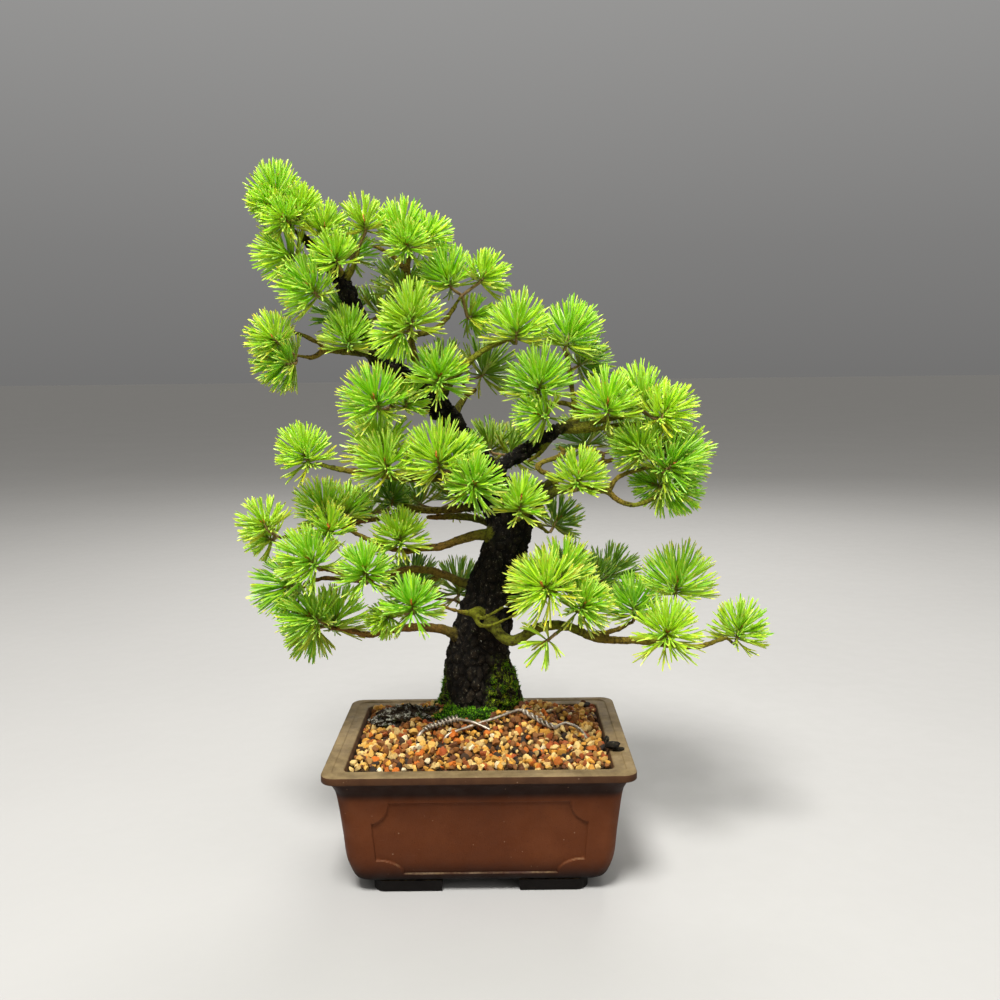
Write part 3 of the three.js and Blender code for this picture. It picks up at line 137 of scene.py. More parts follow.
# Lobes round the trunk: how many, how deep, and where they start
TRUNK_GROWTH = [(3, 0.07, 0.4), (5, 0.05, 2.1), (8, 0.035, 4.4)]
# How fast the lobes wind up the trunk, in radians a millimetre
LOBE_TWIST = 0.02
TRUNK_SIDES = 48
BRANCH_SIDES = 10
TWIG_SIDES = 8
# Stones keep clear of the trunk by an oval round this place
TRUNK_FOOT = {"x": 1, "y": 28, "reach": 29}
# Growing together takes a little off the wood, so each tube starts this much thicker
BRANCH_SWELL = 1.06
# A twig: how far it runs into the shoot, how close samples of one branch lie, how much it leans along the
# branch, how stiff its ends are, and how thick it starts, with its growth a millimetre of length
TWIG = {"overlap": 0.4, "near": 8, "lean": 0.5, "stiff": 0.35, "root": 1.7, "growth": 0.012, "tip": 1.3}
# Needles that would run into wood thicker than this are left out
THICK_RADIUS = 4.5
# The grain at which all the wood is grown together
WOOD_VOXEL = 1.2
# Below this the wood is in the ground and stays as grown
GROUND_LEVEL = 97
BARK = {
    "plate_scale": 0.17, "crack_width": 0.34, "crack_depth": 1.7, "lump": 1.15, "old_radii": (2.3, 5.0),
    "least_age": 0.02, "crack_start": 0.02, "plate_stretch": np.array([1, 1, 0.55]),
}
# Each wave: scale, offset and height
BARK_LUMPS = [(0.07, 0, 1.6), (0.2, 9, 0.8), (0.55, 3, 0.35)]
TWIG_RIPPLES = [(0.22, 5, 0.55), (0.5, 8, 0.3)]
# Angles are in degrees, lengths in millimetres; a band is a length of shoot, and each count of bands has its
# own number of fascicles. The shade and deep_shade levels are how much painted shade a spray's needles get
NEEDLE = {
    "widest": 101, "closest": 8, "band": 3.3, "half_width": 0.68, "spread": 10, "per_fascicle": 5,
    "droop": 0.03, "arch": 0.2, "shortest": 6, "checked_at": (0.35, 0.65, 0.95), "sinks": 0.5,
    "shade": 0.12, "deep_shade": 0.85, "fascicles": {3: 42, 2: 32, 1: 10},
}
# How thick a needle is at four places along it, as a share of its half width
NEEDLE_STATIONS = np.array([0, 0.3, 0.64, 0.94])
NEEDLE_WIDTHS = np.array([0.75, 1.0, 1.05, 0.9])
# The three corners of its section: outwards, sideways
NEEDLE_CORNERS = [(0.32, 0.98), (0.32, -0.98), (-0.72, 0.0)]
# Length and radius of the bud at a shoot's tip, and of the smaller ones beside it
TIP_BUD = (6.2, 1.75)
SIDE_BUD = (3.9, 1.1)
# A shoot's radius at places along it
SHOOT_WIDTHS = ([0, 0.5, 0.8, 1], [1.35, 1.2, 1.45, 1.0])
GOLDEN_ANGLE = math.radians(137.5)
# How far below its heart a lone tuft's stem starts, and how far above its foot a shared stem forks
LONE_STEM = 9
FORK_HEIGHT = 2

# Trunk rows: x and z read in the front view, depth y, radius
TRUNK = [
    (-3, 84, 28, 32.5), (-3, 100, 28, 33), (-2.5, 113, 28, 31), (-1.5, 135, 25, 27), (0, 155, 23, 24),
    (5, 182, 20, 21.6), (13, 210, 19, 20.2), (20, 240, 18, 17.5), (24, 256, 18, 17.5), (21, 272, 18, 17),
    (13, 286, 19, 13.5), (3, 299, 20, 11.5), (-13, 322, 23, 10.2), (-28, 345, 26, 9.8), (-42, 359, 27, 9.5),
    (-69, 381, 26, 8.5), (-80, 397, 24, 8.1), (-97, 434, 20, 6.6), (-106, 450, 18, 5.3),
    (-118, 464, 15, 4.4), (-130, 476, 14, 3.2),
]

# Branch rows, as the trunk's
BRANCHES = {
    "right_main": [
        (8, 284, 16, 8), (15, 297, 12, 6.6), (27, 306, 10, 6), (45, 318, 8, 5.6), (57, 325, 7, 5),
        (67, 330, 5, 4), (83, 331.5, 3, 2.9), (93, 335, 2, 2.5), (108, 337, 2, 2.1), (114, 338, 3, 1.7),
    ],
    "right_main_second": [
        (67, 328, 5, 3), (85, 327.5, -2, 2.1), (105, 331, -3, 1.9), (122, 332, -3, 1.7), (129, 332, -4, 1.5),
    ],
    "right_upper": [(64, 329, 5, 3.2), (79, 341, 8, 2.4), (68, 348, 8, 2), (61, 348, 6, 1.6)],
    "right_top": [(76, 340, 8, 2.2), (72, 360, 14, 1.9), (70, 376, 14, 1.8), (68, 386, 13, 1.5)],
    "right_lower": [
        (27, 263, 12, 8), (42, 272, 3, 5.8), (52, 278, -3, 4.6), (60, 282, -6, 4), (70, 283, -9, 3.4),
        (80, 284.5, -11, 3.1), (90, 282, -12, 2.8), (100, 281, -14, 2.5),
    ],
    "right_lower_up": [
        (100, 281, -14, 2.3), (106, 290, -12, 1.9), (116, 295, -8, 1.8), (126, 297.5, -6, 1.7),
        (133, 299, -4, 1.5),
    ],
    "right_lower_down": [
        (99, 281, -14, 2.3), (108, 273.5, -16, 2), (119, 270, -14, 1.9), (131, 273, -9, 1.8),
        (139, 278, -4, 1.5),
    ],
    "right_hook": [
        (60, 282, -6, 2.6), (59, 288, -10, 2.2), (55, 294, -13, 2.2), (48, 297, -15, 2.1),
        (46, 301, -15, 2.1), (52, 304.5, -15, 2), (60, 307, -13, 1.9), (66, 311, -10, 1.7),
        (62, 315.5, -9, 1.5),
    ],
    "right_stub": [(55, 320, 7, 2.4), (47, 310, -1, 1.9), (38, 304, -4, 1.3)],
    "right_behind": [(38, 262, 24, 4.5), (48, 254, 27, 2.2)],
    "front_fork": [
        (4, 188, 10, 5), (-1, 187, -1, 4.2), (-4, 186.5, -8, 2.9), (2, 182.5, -12, 1.5),
        (12, 187, -17, 1.25), (22, 193, -23, 1.2), (31, 198, -27, 1.2), (41, 201, -29, 1.2),
    ],
    "front_fork_second": [
        (-4, 184, -7, 2.0), (0, 177, -12, 1.6), (9, 176.5, -16, 1.3), (20, 181, -19, 1.2),
        (33, 188, -21, 1.2), (45, 200, -20, 1.2),
    ],
    "front_fork_left": [
        (-4, 186.5, -8, 3.4), (-12, 187, -14, 1.8), (-20, 189, -19, 1.5), (-30, 192, -25, 1.4),
        (-42, 190, -31, 1.3),
    ],
    "low_right": [
        (5, 182, 6, 6), (11, 175, -5, 4.6), (17, 168, -10, 4.2), (24, 164, -12, 4), (32, 166, -13, 3.9),
        (42, 172.5, -14, 3.7), (56, 176, -15, 3.6), (68, 175, -15, 3.4), (80, 170, -14, 3.3),
        (90, 165.5, -13, 3.1), (105, 163.5, -12, 2.9), (120, 163, -11, 2.7), (135, 161, -10, 2.5),
        (152, 158.5, -10, 2.3), (170, 157.5, -10, 2), (185, 162, -9, 1.8), (194, 165, -8, 1.5),
    ],
    "low_right_up": [(84, 168, -13, 2.6), (97, 169.5, -8, 2.1), (109, 172.5, -3, 1.9), (116, 177, 3, 1.7)],
    "low_right_fan": [(137, 161, -10, 2.3), (146, 172, -2, 2), (151, 185, 4, 1.8), (152.5, 193, 6, 1.6)],
    "low_right_back": [(76, 171, -14, 2.4), (80, 180, 2, 2), (84, 192, 20, 1.8), (87, 200, 32, 1.6)],
    "low_right_hanging": [(70, 175, -15, 2.2), (66, 174, -22, 1.6), (59, 168.5, -30, 1.4)],
    "low_left": [
        (-12, 166, 16, 6), (-22, 170.5, 12, 4.4), (-31, 174, 9, 3.6), (-45, 175.5, 7, 3.2),
        (-60, 175, 6, 2.9), (-74, 172.5, 6, 2.6), (-88, 170, 6, 2.4), (-99, 173, 6, 2.1),
        (-104, 174, 6, 1.8),
    ],
    "low_left_tip": [(-103, 174, 6, 1.9), (-111, 175, 4, 1.5)],
    "middle_left": [
        (2, 208, 24, 5), (-12, 210, 22, 3.8), (-24, 216, 16, 3.2), (-40, 221, 8, 2.9), (-58, 221, 0, 2.7),
        (-74, 217, -6, 2.6), (-88, 213, -9, 2.5), (-102, 217.5, -10, 2.2), (-116, 222, -11, 1.9),
        (-121, 223, -12, 1.6),
    ],
    "middle_left_second": [
        (-88, 213, -8, 2.2), (-103, 213.5, -4, 1.8), (-118, 215.5, -1, 1.7), (-130, 213, 2, 1.6),
        (-137, 210, 3, 1.5),
    ],
    "middle_left_back": [(-30, 218, 14, 2.6), (-42, 208, 22, 2), (-50, 202, 28, 1.7)],
    "upper_left_arm": [
        (12, 249, 10, 5), (-2, 247.5, 3, 3.8), (-15, 244, 1, 3.3), (-30, 239, 0, 3), (-44, 238, 0, 2.7),
        (-56, 236, 1, 2.2), (-74, 240, 8, 2), (-90, 248, 14, 1.9), (-104, 255, 16, 1.7),
    ],
    "middle_arm": [
        (12, 276, 22, 6), (-4, 271, 24, 4), (-20, 268, 25, 3.2), (-40, 267.5, 26, 2.8), (-54, 270, 27, 2.4),
        (-62, 271, 28, 1.6),
    ],
    "middle_arm_far": [
        (-50, 269, 26, 2.2), (-72, 262, 34, 2), (-98, 258, 34, 1.8), (-130, 250, 20, 1.7),
        (-150, 248, 10, 1.5),
    ],
    "upper_arm": [
        (0, 303, 22, 6), (-14, 298, 14, 4.2), (-28, 293, 6, 3.6), (-46, 292, 0, 3.2), (-62, 293.5, -3, 2.9),
        (-84, 297, -4, 2.6), (-100, 299, -5, 2.2), (-114, 302, -6, 1.8), (-123, 305, -6, 1.5),
    ],
    "crown_left": [
        (-66, 380, 24, 5), (-80, 387, 17, 3.9), (-96, 389, 12, 3.2), (-112, 390, 10, 2.6),
        (-120, 386, 12, 2), (-126, 384, 13, 1.6),
    ],
    "crown_left_tip": [(-110, 391, 10, 2), (-127, 400, 12, 1.8), (-138, 404, 13, 1.4)],
    "crown_right": [
        (-30, 350, 22, 5), (-22, 362, 16, 3.6), (-11, 375, 13, 2.9), (5, 388, 11, 2.3), (18, 394, 10, 2),
        (27, 397, 10, 1.6),
    ],
    "crown_middle": [
        (-38, 358, 22, 4.4), (-44, 375, 16, 3.4), (-48, 392, 12, 2.9), (-50, 415, 16, 2.5),
        (-50, 440, 20, 2.2), (-49, 456, 18, 1.8),
    ],
    "crown_middle_right": [
        (-48, 400, 13, 2.6), (-32, 404, 18, 2.2), (-22, 412, 22, 2), (-15, 422, 24, 1.6),
    ],
    "crown_top": [(-98, 440, 19, 3.2), (-91, 450, 17, 2.3), (-88, 458, 18, 1.7)],
    "apex_stub": [(-50, 446, 19, 2.1), (-60, 458, 17, 1.9), (-70, 464, 14, 1.5), (-76, 466, 12, 1.1)],
    "back_low": [(4, 176, 34, 6), (0, 184, 52, 4.2), (-6, 190, 70, 3.2), (-14, 194, 86, 2.2)],
    "back_low_right": [(10, 190, 34, 5), (34, 200, 50, 3.6), (60, 205, 62, 2.8), (92, 205, 66, 1.8)],
    "back_middle": [(20, 246, 30, 5), (10, 256, 50, 3.8), (-10, 262, 66, 3), (-40, 262, 74, 2)],
    "back_right": [(24, 268, 28, 5), (50, 285, 44, 3.6), (78, 298, 54, 2.8), (104, 305, 56, 1.8)],
    "back_upper": [(-16, 326, 32, 4.6), (-16, 340, 50, 3.4), (-10, 352, 64, 2.6), (0, 360, 72, 1.8)],
    "back_crown": [(-60, 374, 34, 4.2), (-66, 388, 48, 3.2), (-76, 398, 60, 2.4), (-90, 404, 66, 1.7)],
}

# Each spray: its foot as x, z and depth, or None for a tuft on a stem of its own, then its tufts.
# Each tuft: x and z of its heart read in the front view, depth y, aim (right, away, up), reach, bands.
SPRAYS = {
    "apex": (
        (-136, 481, 13), (-146, 501.5, 14, (0, 0, 1), 26.5, 3), (-151, 496, 4, (-0.7, -0.3, 0.65), 17, 2),
        (-141, 492, 26, (0.1, 0.7, 0.7), 19, 2), (-130, 489, 9, (0.3, -0.3, 0.85), 23, 3),
        (-140, 486, -3, (-0.3, -0.8, 0.5), 20, 2),
    ),
    "apex_right": (None, (-112, 478, 6, (0.35, -0.15, 0.9), 22, 2)),
    "left_apex": (
        (-124, 447.5, 6.5), (-138, 460, 10, (-0.9, -0.1, 0.4), 28, 3),
        (-121, 434, 0, (-0.6, -0.45, 0.6), 31, 3),
    ),
    "shoulder_top": (None, (-103, 457, -4, (-0.3, -0.5, 0.75), 24, 2)),
    "shoulder_peak": (
        (-86, 464, 20), (-81, 481, 19, (-0.1, 0, 0.95), 24, 2), (-92, 460, 34, (-0.1, 0.6, 0.7), 24, 2),
    ),
    "crown_peak": (
        (-48, 461, 18), (-53.5, 474, 24, (-0.1, 0.1, 1), 27, 3), (-50, 466, 4, (0.1, -0.75, 0.55), 22, 2),
        (-35, 471, 24, (0.65, 0.2, 0.7), 22, 2),
    ),
    "crown_front": (
        (-46, 401, 2), (-48, 412, -12, (0.05, -0.35, 0.9), 30, 3),
        (-57, 401, -8, (-0.7, -0.35, -0.3), 25, 2),
    ),
    "crown_behind": (None, (-53, 436, 44, (-0.1, 0.3, 0.95), 30, 2)),
    "crown_right": (
        (-11, 428, 25), (-20, 441, 24, (-0.3, 0, 0.9), 28, 3), (6, 442, 26, (0.65, 0.1, 0.75), 23, 2),
        (-2, 414, 36, (0.7, 0.35, 0.2), 19, 2),
    ),
    "right_peak": (None, (31, 402, 10, (0.1, -0.1, 1), 31, 3)),
    "left_shoulder": (
        (-134, 386, 14), (-151, 398, 4, (-0.7, -0.3, 0.6), 25, 2),
        (-142, 380.5, 9, (-0.95, -0.2, 0), 26, 3), (-147, 387, 32, (-0.7, 0.6, 0.2), 20, 2),
    ),
    "left_crown": (None, (-96, 397, 2, (0, -0.2, 0.95), 26, 3)),
    "left_heart": (
        (-67, 345, 0), (-76, 350, -16, (-0.3, -0.5, 0.8), 33, 3), (-53, 350, 2, (0.45, -0.2, 0.85), 20, 2),
    ),
    "far_left": (None, (-131, 310, -9, (-0.25, -0.4, 0.85), 27, 3)),
    "left_middle": (
        (-72, 300, -6), (-70, 302, -22, (-0.3, -0.45, 0.8), 30, 3), (-74, 316, 4, (-0.1, 0.2, 1), 33, 3),
    ),
    "left_under": (
        (-70, 268, 38), (-66, 276, 32, (0.1, -0.2, 0.9), 19, 2), (-87, 266, 52, (-0.35, 0.4, 0.8), 23, 2),
    ),
    "heart_front": (None, (-28.5, 367, -14, (0.15, -0.6, 0.7), 30, 3)),
    "right_heart": (
        (55, 347, 4), (47.5, 361, -2, (0, -0.35, 0.95), 33, 3), (50, 339, -6, (-0.85, -0.35, 0.3), 25, 2),
    ),
    "middle_front": (
        (-20, 297, -9), (-29.5, 304, -20, (-0.15, -0.35, 0.9), 36, 3),
        (-16, 305, -8, (0.65, 0.2, 0.7), 26, 3), (-3, 286, -34, (0.15, -0.7, 0.5), 30, 3),
    ),
    "middle_back": (
        (17, 309, 34), (9, 315, 48, (-0.4, 0.35, 0.8), 25, 2), (26, 312, 46, (0.65, 0.3, 0.6), 25, 2),
    ),
    "trunk_front": (None, (32, 270, -20, (0.15, -0.25, 0.95), 26, 3)),
    "right_top": (None, (70, 396, 12, (0.4, 0, 0.9), 31, 3)),
    "right_back": (None, (80, 378, 40, (0.8, 0.35, 0.45), 26, 2)),
    "right_pad": (None, (99, 344, -10, (-0.05, -0.25, 0.95), 31, 3)),
    "right_far": (
        (123, 341, 4), (126, 348, 12, (-0.2, 0.2, 1), 31, 3), (142, 339, -6, (0.65, -0.35, 0.65), 28, 3),
    ),
    "right_face": (
        (137, 301, 1), (124, 312, -4, (-0.65, -0.3, 0.65), 27, 3), (137, 314, 16, (0, 0.3, 0.95), 27, 3),
        (146, 298, -13, (0.6, -0.5, 0.5), 32, 3), (151, 306, 8, (0.85, 0.15, 0.5), 30, 3),
    ),
    "right_edge_low": (
        (141, 279.5, -1), (147, 281, -9, (0.85, -0.25, -0.15), 24, 3),
        (137, 285, 8, (-0.8, 0.35, 0.3), 22, 2),
    ),
    "right_low_pad": (None, (77, 290, -20, (0.25, -0.35, 0.9), 27, 3)),
    "right_shade": (None, (60, 257, 32, (0.5, 0.2, 0.75), 24, 2)),
    "outer_left": (
        (-154, 248, 6), (-164, 257, -2, (-0.5, -0.2, 0.85), 25, 2),
        (-162, 247, 16, (-0.9, 0.25, 0.2), 20, 2),
    ),
    "outer_left_pad": (None, (-129, 228, -20, (-0.5, -0.45, 0.7), 33, 3)),
    "inner_left_pad": (
        (-108, 256, 14), (-115, 252, -4, (-0.05, -0.5, 0.8), 24, 2),
        (-118, 267, 16, (-0.45, 0, 0.9), 28, 3), (-101, 267, 28, (0.3, 0.3, 0.9), 25, 2),
    ),
    "left_bud": (None, (-60.5, 245, -8, (0, -0.4, 0.9), 27, 3)),
    "left_star": (None, (-88, 219, -28, (0, -0.55, 0.8), 28, 3)),
    "outer_left_low": (None, (-145, 209, 5, (-0.98, 0, 0.1), 33, 3)),
    "low_left": (
        (-117, 176, 4), (-113, 181, 14, (0.2, 0.3, 0.9), 30, 3), (-129, 184, -7, (-0.7, -0.4, 0.55), 32, 3),
        (-131, 173, 8, (-0.75, 0.1, -0.55), 25, 2),
    ),
    "low_left_bright": (
        (-56, 187, -20), (-52, 191, -36, (0, -0.55, 0.8), 30, 3), (-72, 183, -22, (-0.65, -0.65, 0), 18, 2),
    ),
    "low_left_back": (None, (-52, 210, 36, (0, 0.15, 0.98), 28, 2)),
    "low_right_bright": (
        (58, 201, -22), (52, 205, -38, (-0.45, -0.6, 0.65), 36, 3), (63, 213, -14, (0.3, 0, 0.95), 34, 3),
        (46, 205, -14, (-0.7, 0.4, 0.6), 30, 2), (80, 190, -30, (0.5, -0.45, 0.6), 27, 3),
    ),
    "low_right_behind": (None, (88, 207, 36, (0.35, 0.3, 0.8), 26, 2)),
    "low_right_fan": (None, (120, 188, 8, (0, -0.05, 1), 29, 3)),
    "low_right_star": (None, (146, 167, -28, (0.05, -0.55, 0.8), 33, 3)),
    "low_right_crest": (None, (153, 205, 7, (0.1, 0, 1), 38, 3)),
    "low_right_tip": (None, (202, 168, -7, (0.2, -0.2, 0.95), 28, 3)),
    "low_right_hanging": (None, (52, 163, -36, (-0.6, -0.4, -0.4), 25, 1)),
    "back_low": (
        (-18, 196, 78), (-16, 204, 96, (0, 0.6, 0.75), 30, 2), (-46, 202, 78, (-0.7, 0.3, 0.6), 28, 2),
    ),
    "back_low_right": (
        (84, 208, 66), (100, 214, 66, (0.7, 0.2, 0.65), 30, 2), (72, 216, 80, (-0.2, 0.6, 0.75), 28, 2),
    ),
    "back_middle": (
        (-30, 266, 74), (-46, 274, 74, (-0.7, 0.3, 0.6), 30, 2), (-16, 278, 84, (0.3, 0.6, 0.75), 30, 2),
    ),
    "back_right": (
        (96, 308, 60), (112, 316, 58, (0.65, 0.2, 0.7), 30, 2), (82, 318, 72, (-0.3, 0.5, 0.8), 28, 2),
    ),
    "back_upper": (
        (-10, 364, 70), (6, 372, 72, (0.6, 0.4, 0.7), 30, 2), (-24, 374, 76, (-0.5, 0.5, 0.7), 28, 2),
    ),
    "back_crown": (
        (-84, 408, 64), (-98, 416, 66, (-0.6, 0.3, 0.75), 28, 2), (-70, 418, 74, (0.4, 0.5, 0.75), 28, 2),
    ),
}

# How much old bark each of the greener branches carries
BARE_BRANCHES = {
    "low_right": 0.3, "front_fork": 0.1, "front_fork_second": 0.0, "front_fork_left": 0.1, "right_lower": 0.5,
    "right_lower_up": 0.2, "right_lower_down": 0.2, "right_hook": 0.0, "upper_left_arm": 0.25,
    "low_left": 0.5, "middle_left": 0.5,
}
# Sprays in the tree's shade: their needles get a darker green, as painted shade
SHADED_SPRAYS = {
    "right_shade", "low_right_behind", "middle_back", "low_left_back", "left_under", "crown_behind",
    "right_back", "back_low", "back_low_right", "back_middle", "back_right", "back_upper", "back_crown",
}
YELLOW_TIPPED = {"low_right_bright", "low_right_crest", "left_shoulder", "left_heart", "inner_left_pad"}

# Each row: x, y, z of the wire's centre line
RIGHT_WIRE = [
    (62, -16, 5.6), (62, -22.5, 5.6), (62, -24, 16), (62.5, -24, 34), (73, -24, 62), (82, -24, 86),
    (82.5, -23, 94), (79.3, -16.7, 97.4), (73, -6.5, 100), (66, -2.6, 101.2), (61, -5.5, 101),
    (57, -9.2, 100.6), (49.6, -5.5, 102.4), (42, 1.2, 104.8), (36, 5.4, 106.6), (33, 7.6, 108.2),
    (28, 6.6, 108.8), (20, 0.5, 108.2), (11.2, -4.4, 106.7), (-7.5, -13, 103.6), (-23.5, -20.6, 100.2),
    (-29, -24, 94),
]
LEFT_WIRE = [
    (-62, -16, 5.6), (-62, -22.5, 5.6), (-62, -24, 16), (-61.5, -24, 34), (-55, -22, 70), (-49, -20, 93),
    (-45.6, -17.7, 99.6), (-42.2, -13.6, 101.4), (-37, -10, 102.9), (-31, -8.6, 104.2),
    (-23.5, -6.4, 105.8), (-17, -5.6, 106.6), (-13, -8, 106.6), (-5, -13, 106.6), (7.4, -19.5, 103),
]
# Which rows are wound, a turn's length, how far out each strand lies, and how much the first one turns too
RIGHT_WINDING = {"rows": (11, 15), "turn": 9.5, "out": (1.2, 1.2), "first": 1}
LEFT_WINDING = {"rows": (7, 11), "turn": 2.9, "out": (1.7, 3.0), "first": 0}

# Where moss fades out on the trunk: sideways and upwards on each side, and upwards at the foot
TRUNK_MOSS = {"right": (2, 10), "right_top": (138, 160), "left": (-20, -25), "left_top": (122, 150),
              "foot_top": (98, 109), "least_radius": 14}
MOSS = {"centre": (-10, 6, 105), "size": (22, 9.5, 9.5)}
HUMUS = {"centre": (-54, 21, 99), "size": (28, 16, 8.5)}
HUMUS_CRUMBS = {"shapes": 6, "count": 560, "size": (1.2, 4.2)}
# The dark chip on the right inner rim: the size and the place of each lobe
CHIPS = [
    ((12.5, 19.0, 8.5), (98.0, -33.5, 96.6)), ((5.0, 9.0, 8.0), (94.6, -26.0, 98.0)),
    ((8, 7, 5), (102, -38, 96)),
]
# A dead needle and a stick on the stones: centre line, step, radius at both ends, sides
DRY_LITTER = [
    ([(-45.6, -2.1, 101.5), (-47, -14, 100.6), (-48.2, -24, 98.6), (-48.9, -33, 97)], 2, 0.55, 0.3, 5),
    ([(-60.2, -28.1, 97.4), (-55, -25, 98.6), (-50.6, -22.5, 98.6)], 1.5, 0.9, 0.7, 7),
]
# Pale drops on the bark: x and z as read in the front view, and their size.
# Each is a few crumbs, looked for between these depths.
FLECK_CRUMBS = 3
FLECK_DEPTHS = (-60.0, 60.0)
PALE_FLECKS = [(39, 177, 2.2), (20, 191, 2.4), (1, 164, 1.8), (0, 223, 1.6)]
MOSS_BLADES = {"mound": 3600, "trunk": 1500}
# A pebble of one millimetre: its flat cuts, how far out they lie, and its length, depth and height
PEBBLE = {"cuts": 10, "level": (0.24, 0.4), "length": 1.12, "depth": (0.8, 1.05), "height": (0.6, 0.9)}
# Half length and half depth of the field of stones, then of the pot's inside and of the soil below them
STONES = {
    "half": (90, 64.5), "inside": (94.6, 68.4), "soil": (88, 62.5), "pitch": 5.0, "row_step": 0.87,
    "jitter": 0.8, "size": (4.6, 8.0), "loose": 520, "loose_lift": (0.8, 2.2), "small_share": 0.25,
    "small_size": 0.62, "sunk": 0.18, "shapes": 20,
}

# Half the width of the floor, in metres
FLOOR_HALF = 60.0
# How bright the sky is, by the sine of its height: as dark as the far floor at the horizon
SKY = [(0.0, 0.172), (0.12, 0.21), (0.45, 0.36), (1.0, 0.56)]
SKY_TINT = (1, 0.99, 0.975)
# Each light: place and size in metres, and power
LIGHTS = [
    ("key", (-0.3, -0.95, 2.0), 0.7, 74), ("fill", (1.5, -1.1, 1.0), 1.6, 8),
    ("back", (0.3, 1.5, 1.6), 1.2, 24),
]
LIGHTS_AIM = (0, 0, 0.25)

# Heights between which the clay changes, in metres: painted shade under the lip, on its face, on top, and
# painted shade towards the foot
PAINTED_LIP_SHADOW = (0.0725, 0.0795)
LIP_FACE = (0.0886, 0.0893)
LIP_TOP = (0.0925, 0.0932)
PAINTED_FOOT_SHADE = (0.027, 0.0085)
# Colours are screen values from 0 to 255
STONE_COLOURS = [
    (0.0, (220, 190, 122)), (0.16, (204, 150, 58)), (0.32, (190, 104, 30)), (0.41, (214, 172, 88)),
    (0.55, (134, 86, 38)), (0.70, (92, 54, 26)), (0.80, (150, 74, 30)), (0.86, (38, 31, 25)),
    (0.92, (242, 226, 190)), (0.96, (168, 128, 68)),
]
# A texture is noise, as scale, detail and roughness, or cells, as their scale alone.
# Each plain look: roughness, specular and metal; the colours over a texture; the roughness as a texture,
# the part of it that counts and what it gives; the bump as a texture, its height and its strength.
PLAIN_LOOKS = {
    "shoot": ((0.7, 0.5, 0), (420, 5, 0.7),
              [(0.3, (88, 66, 36)), (0.5, (134, 104, 56)), (0.75, (160, 142, 78))],
              ((700, 3), 0.3, 0.7, 0.55, 0.85), ((900, 4, 0.6), 0.0004, 0.8)),
    "bud": ((0.5, 0.5, 0), 900, [(0.1, (226, 144, 58)), (0.5, (192, 92, 34)), (0.8, (118, 56, 26))],
            (900, 0.1, 0.7, 0.4, 0.75), (900, 0.0004, 0.8)),
    "under_soil": ((0.95, 0.1, 0), (380, 5, 0.7), [(0.3, (28, 19, 11)), (0.7, (76, 54, 32))],
                   ((300, 3), 0.3, 0.7, 0.8, 1.0), (300, 0.0012, 0.8)),
    "wire": ((0.4, 0.5, 0.85), (260, 5, 0.6), [(0.35, (124, 112, 98)), (0.7, (206, 194, 176))],
             ((260, 5, 0.6), 0.3, 0.7, 0.32, 0.62), ((900, 3), 0.00015, 0.6)),
    "screen": ((0.5, 0.5, 0), (300, 3), [(0, (16, 17, 18)), (1, (34, 36, 38))],
               ((500, 3), 0.3, 0.7, 0.4, 0.65), ((1200, 3), 0.0001, 0.5)),
    "dry_needle": ((0.7, 0.5, 0), (300, 4), [(0, (112, 66, 30)), (1, (176, 124, 66))],
                   ((500, 3), 0.3, 0.7, 0.55, 0.85), ((900, 3), 0.0002, 0.6)),
    "fleck": ((0.8, 0.5, 0), (600, 4), [(0, (206, 208, 198)), (1, (160, 160, 148))],
              ((500, 3), 0.3, 0.7, 0.6, 0.9), ((1500, 3), 0.0003, 0.7)),
    "floor": ((0.85, 0.5, 0), (3, 3), [(0, (164, 162, 158)), (1, (170, 168, 164))],
              ((40, 3), 0.3, 0.7, 0.75, 0.9), None),
}


# Helpers


def sight_scale(y):
    """The size of a thing at depth y, as a share of how it reads in the front view."""
    return (y - EYE[1]) / (READING_Y - EYE[1])


def seen(x, z, y):
    """A place read in the front view, moved along the sight line to depth y."""
    share = sight_scale(y)
    return np.array([EYE[0] + (x - EYE[0]) * share, y, EYE[2] + (z - EYE[2]) * share])


def smoothstep(low, high, value):
    t = np.clip((value - low) / (high - low), 0, 1)
    return t * t * (3 - 2 * t)


def unit(vectors):
    vectors = np.asarray(vectors, float)
    return vectors / np.maximum(np.linalg.norm(vectors, axis=-1, keepdims=True), 1e-9)


def circle(sides):
    return 2 * math.pi * np.arange(sides) / sides


def around(angles, across, up):
    """Directions at the angles given, in the plane of the two axes."""
    return np.cos(angles)[:, None] * across + np.sin(angles)[:, None] * up


def noise_at(points, scale, offset=0.0):
    return np.array([noise.noise(Vector(p) * scale + Vector((offset, 0, 0))) for p in points])


def waves_at(points, waves):
    return sum(noise_at(points, scale, offset) * height for scale, offset, height in waves)


def joined(parts):
    """Pairs of vertices and faces, as one pair."""
    vertices, faces, start = [], [], 0
    for points, polygons in parts:
        vertices.append(points)
        faces.extend(tuple(i + start for i in polygon) for polygon in polygons)
        start += len(points)
    return np.concatenate(vertices), faces


def linked(name, data):
    obj = bpy.data.objects.new(name, data)
    bpy.context.scene.collection.objects.link(obj)
    return obj


def bare_object(name, points, faces):
    mesh = bpy.data.meshes.new(name)
    mesh.from_pydata(np.asarray(points).tolist(), [], [list(face) for face in faces])
    return linked(name, mesh)


def worked(obj, *others):
    """An object's vertices, faces and normals after its modifiers; it and the others are then deleted."""
    graph = bpy.context.evaluated_depsgraph_get()
    done = bpy.data.meshes.new_from_object(obj.evaluated_get(graph))
    places = np.empty(len(done.vertices) * 3)
    done.vertices.foreach_get("co", places)
    normals = np.empty(len(done.vertices) * 3)
    done.vertices.foreach_get("normal", normals)
    faces = [tuple(polygon.vertices) for polygon in done.polygons]
    for item in (obj, *others):
        mesh = item.data
        bpy.data.objects.remove(item)
        bpy.data.meshes.remove(mesh)
    bpy.data.meshes.remove(done)
    return places.reshape(-1, 3), faces, normals.reshape(-1, 3)


